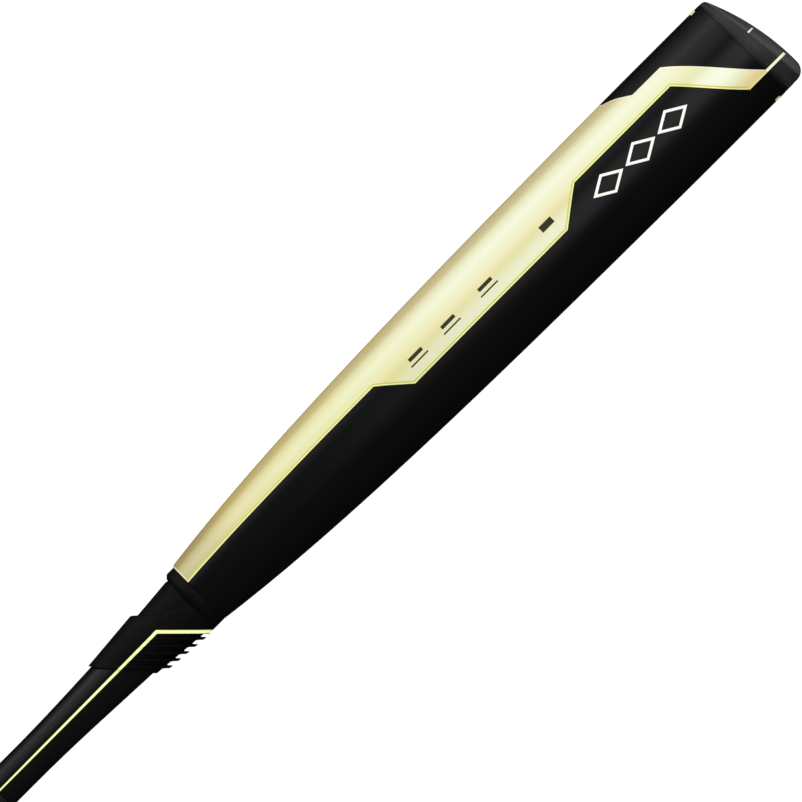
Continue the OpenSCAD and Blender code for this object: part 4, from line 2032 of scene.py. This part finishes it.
@dataclass
class Grip:
    """The wound grip tape, and the finishing tape at its upper end."""

    place: BatFrame
    dresser: Dresser
    form: KnobForm
    start: float = 20
    end: float = 250.1
    thickness: float = 1.8
    blend: float = 8
    thin: float = 1.3
    overlap: float = 0.42
    pitch: float = 21
    step_width: float = 1.3
    tape_length: float = 14
    tape_thickness: float = 0.5
    spacing: float = 0.55
    lap_fall: float = 0.45
    end_sinks: tuple[float, float, float] = (0.7, 0.2, 0.4)
    end_step: float = 0.1
    inner_spacing: float = 5.0
    band_edge: float = 0.12
    band_roll: float = 0.1
    band_shoulder: float = 0.5
    # the finishing tape's height at its start, its growth round the handle, and where its free end is
    band_lap: tuple[float, float, float] = (0.55, 0.45, 0.97)
    band_count: int = 192
    pebble_scale: float = 900.0
    pebble_depth: float = 0.0003
    pebble_shade: float = 0.4
    rub: Rub = Rub(rest=0.35, reach=1.4)
    worn: Colour = srgb(52, 52, 54)
    count: int = 96
    tape: Finish = Finish(
        "grip_black", srgb(30, 30, 32), 0.62, wear=0.16, grain_scale=620, grain_depth=0.00022, specular=0.35
    )
    band: Finish = Finish(
        "band_black", srgb(16, 16, 17), 0.38, wear=0.12, grain_scale=900, grain_depth=0.00001
    )

    def wound(self, at: float) -> Ring:
        """Winds the tape: it steps where each turn laps the last.

        Args:
            at: millimetres from the heel.

        Returns:
            The tape's thickness round the handle there.
        """
        a = np.linspace(0, 1, self.count, endpoint=False)
        phase = np.mod(at / self.pitch - a, 1.0) * self.pitch
        fall = ease((self.pitch - phase) / (self.pitch * self.lap_fall))
        return self.thin + self.overlap * ease(phase / self.step_width) * fall

    def outer(self, at: float, sink: float = 0.0) -> Ring:
        """Follows the knob's ovals and then the round handle.

        Args:
            at: millimetres from the heel.
            sink: how far below the tape's surface.

        Returns:
            A ring of the grip's outside.
        """
        form = self.form
        wide = form.skirt + (form.snug - form.skirt) * ease((at - form.length) / self.blend)
        return form.ring(form.station(at), at, form.skirt - wide - self.wound(at) + sink, self.count)

    def inner(self, at: float) -> Ring:
        """Returns the grip's inside at a place."""
        inset = 0.0 if at < self.form.length else self.form.skirt - self.form.handle
        return self.form.ring(self.form.station(at), at, inset, self.count)

    def build(self) -> list[Object]:
        """Lofts the grip's outside and inside into one closed sleeve, and makes the finishing tape.

        Returns:
            The grip and the finishing tape.
        """
        start, end, top = self.start, self.end, self.form.length
        steps = round((end - start) / self.spacing)
        low, next_low, high = self.end_sinks
        rings = [self.outer(start, low), self.outer(start + self.end_step, next_low)]
        rings += [self.outer(start + (end - start) * i / steps) for i in range(1, steps)]
        rings.append(self.outer(end, high))
        back = [end, top + self.end_step, *np.arange(top, start, -self.inner_spacing), start]
        rings += [self.inner(at) for at in back]
        maker = MeshMaker("grip_sleeve")
        maker.loft(rings)
        grip = maker.finish(self.dress(), sharp=45)
        finish_piece(grip, Slot.GRIP, "grip_wrap")
        band = self.build_band()
        finish_piece(band, Slot.BAND, "grip_band")
        return [grip, band]

    def build_band(self) -> Object:
        """Lofts the finishing tape, which steps up where its free end laps over.

        Returns:
            The finished piece.
        """
        a = np.linspace(0, 1, self.band_count, endpoint=False)
        base, growth, lap = self.band_lap
        under = self.form.snug + self.thickness
        over = under + self.tape_thickness * (base + growth * np.clip(a / lap, 0, 1) * (a < lap))
        low, high = self.end - self.tape_length, self.end + self.tape_thickness
        edge, roll, inside = self.band_edge, self.band_roll, self.form.handle
        outline = (
            (low, under - roll),
            (low, over - edge),
            (low + edge, over),
            (self.end - self.band_shoulder, over),
            (self.end - roll, over - roll),
            (high, under - roll),
            (high, inside),
            (self.end, inside),
            (self.end, under - roll),
        )
        maker = MeshMaker("finishing_tape")
        maker.loft(
            [
                turned_ring(self.place.along(at), radius * MM, self.place.axis_z, self.band_count)
                for at, radius in outline
            ]
        )
        return maker.finish(self.dresser.plain(self.band), sharp=35)

    def dress(self) -> Material:
        """Makes the grip's pebbled black: paler where handling marks wear it, darker in the pebbles' dips as
        painted shade.

        Returns:
            The material.
        """
        graph, shader, grain = self.dresser.start(self.tape)
        where = graph.node("ShaderNodeTexCoord")
        pebbles = graph.node("ShaderNodeTexVoronoi", feature="SMOOTH_F1")
        graph.feed(pebbles.inputs["Vector"], where.outputs["Object"])
        graph.feed(pebbles.inputs["Scale"], self.pebble_scale)
        bump = graph.node("ShaderNodeBump", invert=True)
        bump.inputs["Distance"].default_value = self.pebble_depth
        graph.feed(bump.inputs["Height"], pebbles.outputs["Distance"])
        graph.feed(shader.inputs["Normal"], bump.outputs[0])
        shade = graph.math("MULTIPLY_ADD", grain.outputs["Marks"], self.rub.reach, self.rub.rest)
        # painted shade in the pebbles' dips
        dips = graph.product(pebbles.outputs["Distance"], self.pebble_shade)
        cells = graph.math("SUBTRACT", shade, dips)
        colour = graph.blend(cells, self.tape.colour, self.worn)
        graph.feed(shader.inputs["Base Color"], colour)
        return material_of(graph)


# ---------------------------------------------------------------- inner parts


@dataclass
class InnerParts:
    """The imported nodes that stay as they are, inside the bat, each with its finish."""

    dresser: Dresser
    finishes: dict[str, Finish] = field(
        default_factory=lambda: {
            "barrel_ring": Finish("ring_laminate", srgb(58, 58, 60), 0.4, coat=0.2),
            "cap_bond": Finish("bond_adhesive", srgb(184, 168, 140), 0.45),
            "cap_weight": Finish("cap_weight_steel", srgb(150, 150, 152), 0.32, metallic=1.0),
            "coupling_sleeve": Finish("sleeve_rubber", srgb(38, 38, 40), 0.7, specular=0.3),
            "lock_ring": Finish("lock_ring_plastic", srgb(140, 142, 146), 0.45),
            "handle_plug": Finish("plug_rubber", srgb(62, 65, 70), 0.65, specular=0.3),
            "damping_grid": Finish("grid_plastic_green", srgb(200, 208, 64), 0.5),
            "knob_weight": Finish("knob_weight_steel", srgb(150, 150, 152), 0.35, metallic=1.0),
        }
    )

    def dress(self) -> None:
        """Gives each inner node its finish."""
        for name, finish in self.finishes.items():
            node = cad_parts[name]
            material = self.dresser.plain(finish)
            if not node.data.materials:
                node.data.materials.append(material)
            for slot in node.material_slots:
                slot.material = material
            LOG.info("%s: dressed as %s", name, finish.name)


# ---------------------------------------------------------------- studio


@dataclass
class Softbox:
    """One area light that the camera doesn't see."""

    name: str
    place: tuple[float, float, float]
    aim: tuple[float, float, float]
    size: tuple[float, float]
    power: float
    glossy: bool = True

    def build(self) -> None:
        """Adds the light, aimed at its target and sized."""
        data = bpy.data.lights.new(self.name, "AREA")
        data.shape = "RECTANGLE"
        data.size, data.size_y = self.size
        data.energy = self.power
        lamp = bpy.data.objects.new(self.name, data)
        bpy.context.scene.collection.objects.link(lamp)
        lamp.location = self.place
        way = Vector(self.aim) - Vector(self.place)
        lamp.rotation_mode = "QUATERNION"
        lamp.rotation_quaternion = way.to_track_quat("-Z", "Y")
        lamp.visible_camera = False
        lamp.visible_glossy = self.glossy


@dataclass
class Studio:
    """Pale floor, soft light and the camera that looks down on the barrel."""

    place: BatFrame
    target: float = 555.7
    across: float = -4.24 * MM
    field: float = 435.6 * MM
    lens: float = 1000.0
    sensor: float = 36.0
    floor_size: float = 9.0
    floor_white: float = 1.2
    floor_grey: float = 0.8
    floor_glow: float = 0.8
    # what the lacquer sees in the floor: brightness at two places across the bat
    mirror_from: tuple[float, float] = (0.06, 0.01)
    mirror_to: tuple[float, float] = (0.22, 0.42)
    world_matt: float = 0.8
    world_gloss: float = 0.03
    camera_turn: float = -45.0
    camera_clip: tuple[float, float] = (0.5, 60.0)
    softboxes: tuple[Softbox, ...] = (
        Softbox("overhead", (0.75, -0.05, 1.2), (0.75, -0.05, 0.0), (1.1, 0.9), 4.2),
        Softbox("oblique", (0.3, 1.25, 1.0), (0.3, 0.0, 0.03), (2.0, 0.9), 4.4),
        Softbox("side_strip", (0.3, 1.6, 0.32), (0.3, 0.0, 0.03), (2.4, 0.62), 6.5),
        Softbox("low_fill", (0.0, -1.6, 0.9), (0.0, 0.0, 0.03), (1.6, 0.7), 3.5, glossy=False),
    )

    def build(self) -> None:
        """Adds the floor, the world, the lights and the camera."""
        self.build_floor()
        self.build_world()
        for box in self.softboxes:
            box.build()
        self.build_camera()
        bpy.context.scene.view_settings.view_transform = "Standard"

    def build_floor(self) -> None:
        """Adds the pale floor, lit to white for the eye and dim in the lacquer's reflections."""
        half = self.floor_size / 2
        mesh = bpy.data.meshes.new("floor")
        corners = [(-half, -half, 0), (half, -half, 0), (half, half, 0), (-half, half, 0)]
        mesh.from_pydata(corners, [], [(0, 1, 2, 3)])
        floor = bpy.data.objects.new("floor", mesh)
        bpy.context.scene.collection.objects.link(floor)
        material = bpy.data.materials.new("floor_pale")
        material.use_nodes = True
        graph = Graph(material.node_tree)
        nodes = material.node_tree.nodes
        nodes.remove(nodes["Principled BSDF"])
        paper = graph.node("ShaderNodeBsdfDiffuse")
        paper.inputs["Color"].default_value = (self.floor_grey,) * 3 + (1,)
        glow = graph.node("ShaderNodeEmission")
        glow.inputs["Color"].default_value = (self.floor_white,) * 3 + (1,)
        mirror = graph.node("ShaderNodeEmission")
        (near, dark), (far, bright) = self.mirror_from, self.mirror_to
        strength = graph.spread(graph.coordinates()[1], near, far, dark, bright)
        graph.feed(mirror.inputs["Strength"], strength)
        rays = graph.node("ShaderNodeLightPath").outputs
        surface = paper.outputs[0]
        seen = self.mixed(graph, self.floor_glow, surface, glow.outputs[0])
        surface = self.mixed(graph, rays["Is Camera Ray"], surface, seen)
        surface = self.mixed(graph, rays["Is Glossy Ray"], surface, mirror.outputs[0])
        graph.feed(nodes["Material Output"].inputs[0], surface)
        mesh.materials.append(material)

    @staticmethod
    def mixed(graph: Graph, amount: Value, a: NodeSocket, b: NodeSocket) -> Value:
        """Mixes two surfaces.

        Args:
            graph: the tree to build in.
            amount: share of the second surface.
            a: first surface.
            b: second surface.

        Returns:
            The mixed surface's socket.
        """
        made = graph.node("ShaderNodeMixShader")
        for socket, value in zip(made.inputs, (amount, a, b)):
            graph.feed(socket, value)
        return made.outputs[0]

    def build_world(self) -> None:
        """Makes a world that is white to the eye, grey to matt surfaces and nearly dark to gloss."""
        world = bpy.data.worlds.new("studio")
        bpy.context.scene.world = world
        world.use_nodes = True
        graph = Graph(world.node_tree)
        nodes = world.node_tree.nodes
        back = nodes["Background"]
        rays = graph.node("ShaderNodeLightPath")
        soft = graph.mix(rays.outputs["Is Glossy Ray"], self.world_matt, self.world_gloss)
        graph.feed(back.inputs["Strength"], graph.mix(rays.outputs["Is Camera Ray"], soft, 1.0))
        back.inputs["Color"].default_value = (1, 1, 1, 1)

    def build_camera(self) -> None:
        """Adds the camera: straight above, turned so that the barrel points up and to the right."""
        data = bpy.data.cameras.new("camera")
        data.lens = self.lens
        data.sensor_width = self.sensor
        data.clip_start, data.clip_end = self.camera_clip
        camera = bpy.data.objects.new("camera", data)
        bpy.context.scene.collection.objects.link(camera)
        height = self.field * self.lens / self.sensor
        camera.location = (self.place.along(self.target), self.across, self.place.axis_z + height)
        camera.rotation_euler = (0, 0, math.radians(self.camera_turn))
        bpy.context.scene.camera = camera


def main() -> None:
    """Builds the bat's sub-assemblies in order, then the studio."""
    logging.basicConfig(level=logging.INFO, format="%(name)s: %(message)s")
    place = BatFrame.read()
    dresser = Dresser(place)
    handle = Handle(place, dresser)
    form = KnobForm(place)
    Barrel(place, dresser).build()
    EndCap(place, dresser).build()
    handle.build()
    Collar(place, handle).build()
    Knob(place, dresser, form).build()
    Grip(place, dresser, form).build()
    InnerParts(dresser).dress()
    Studio(place).build()


if __name__ == "__main__":
    main()
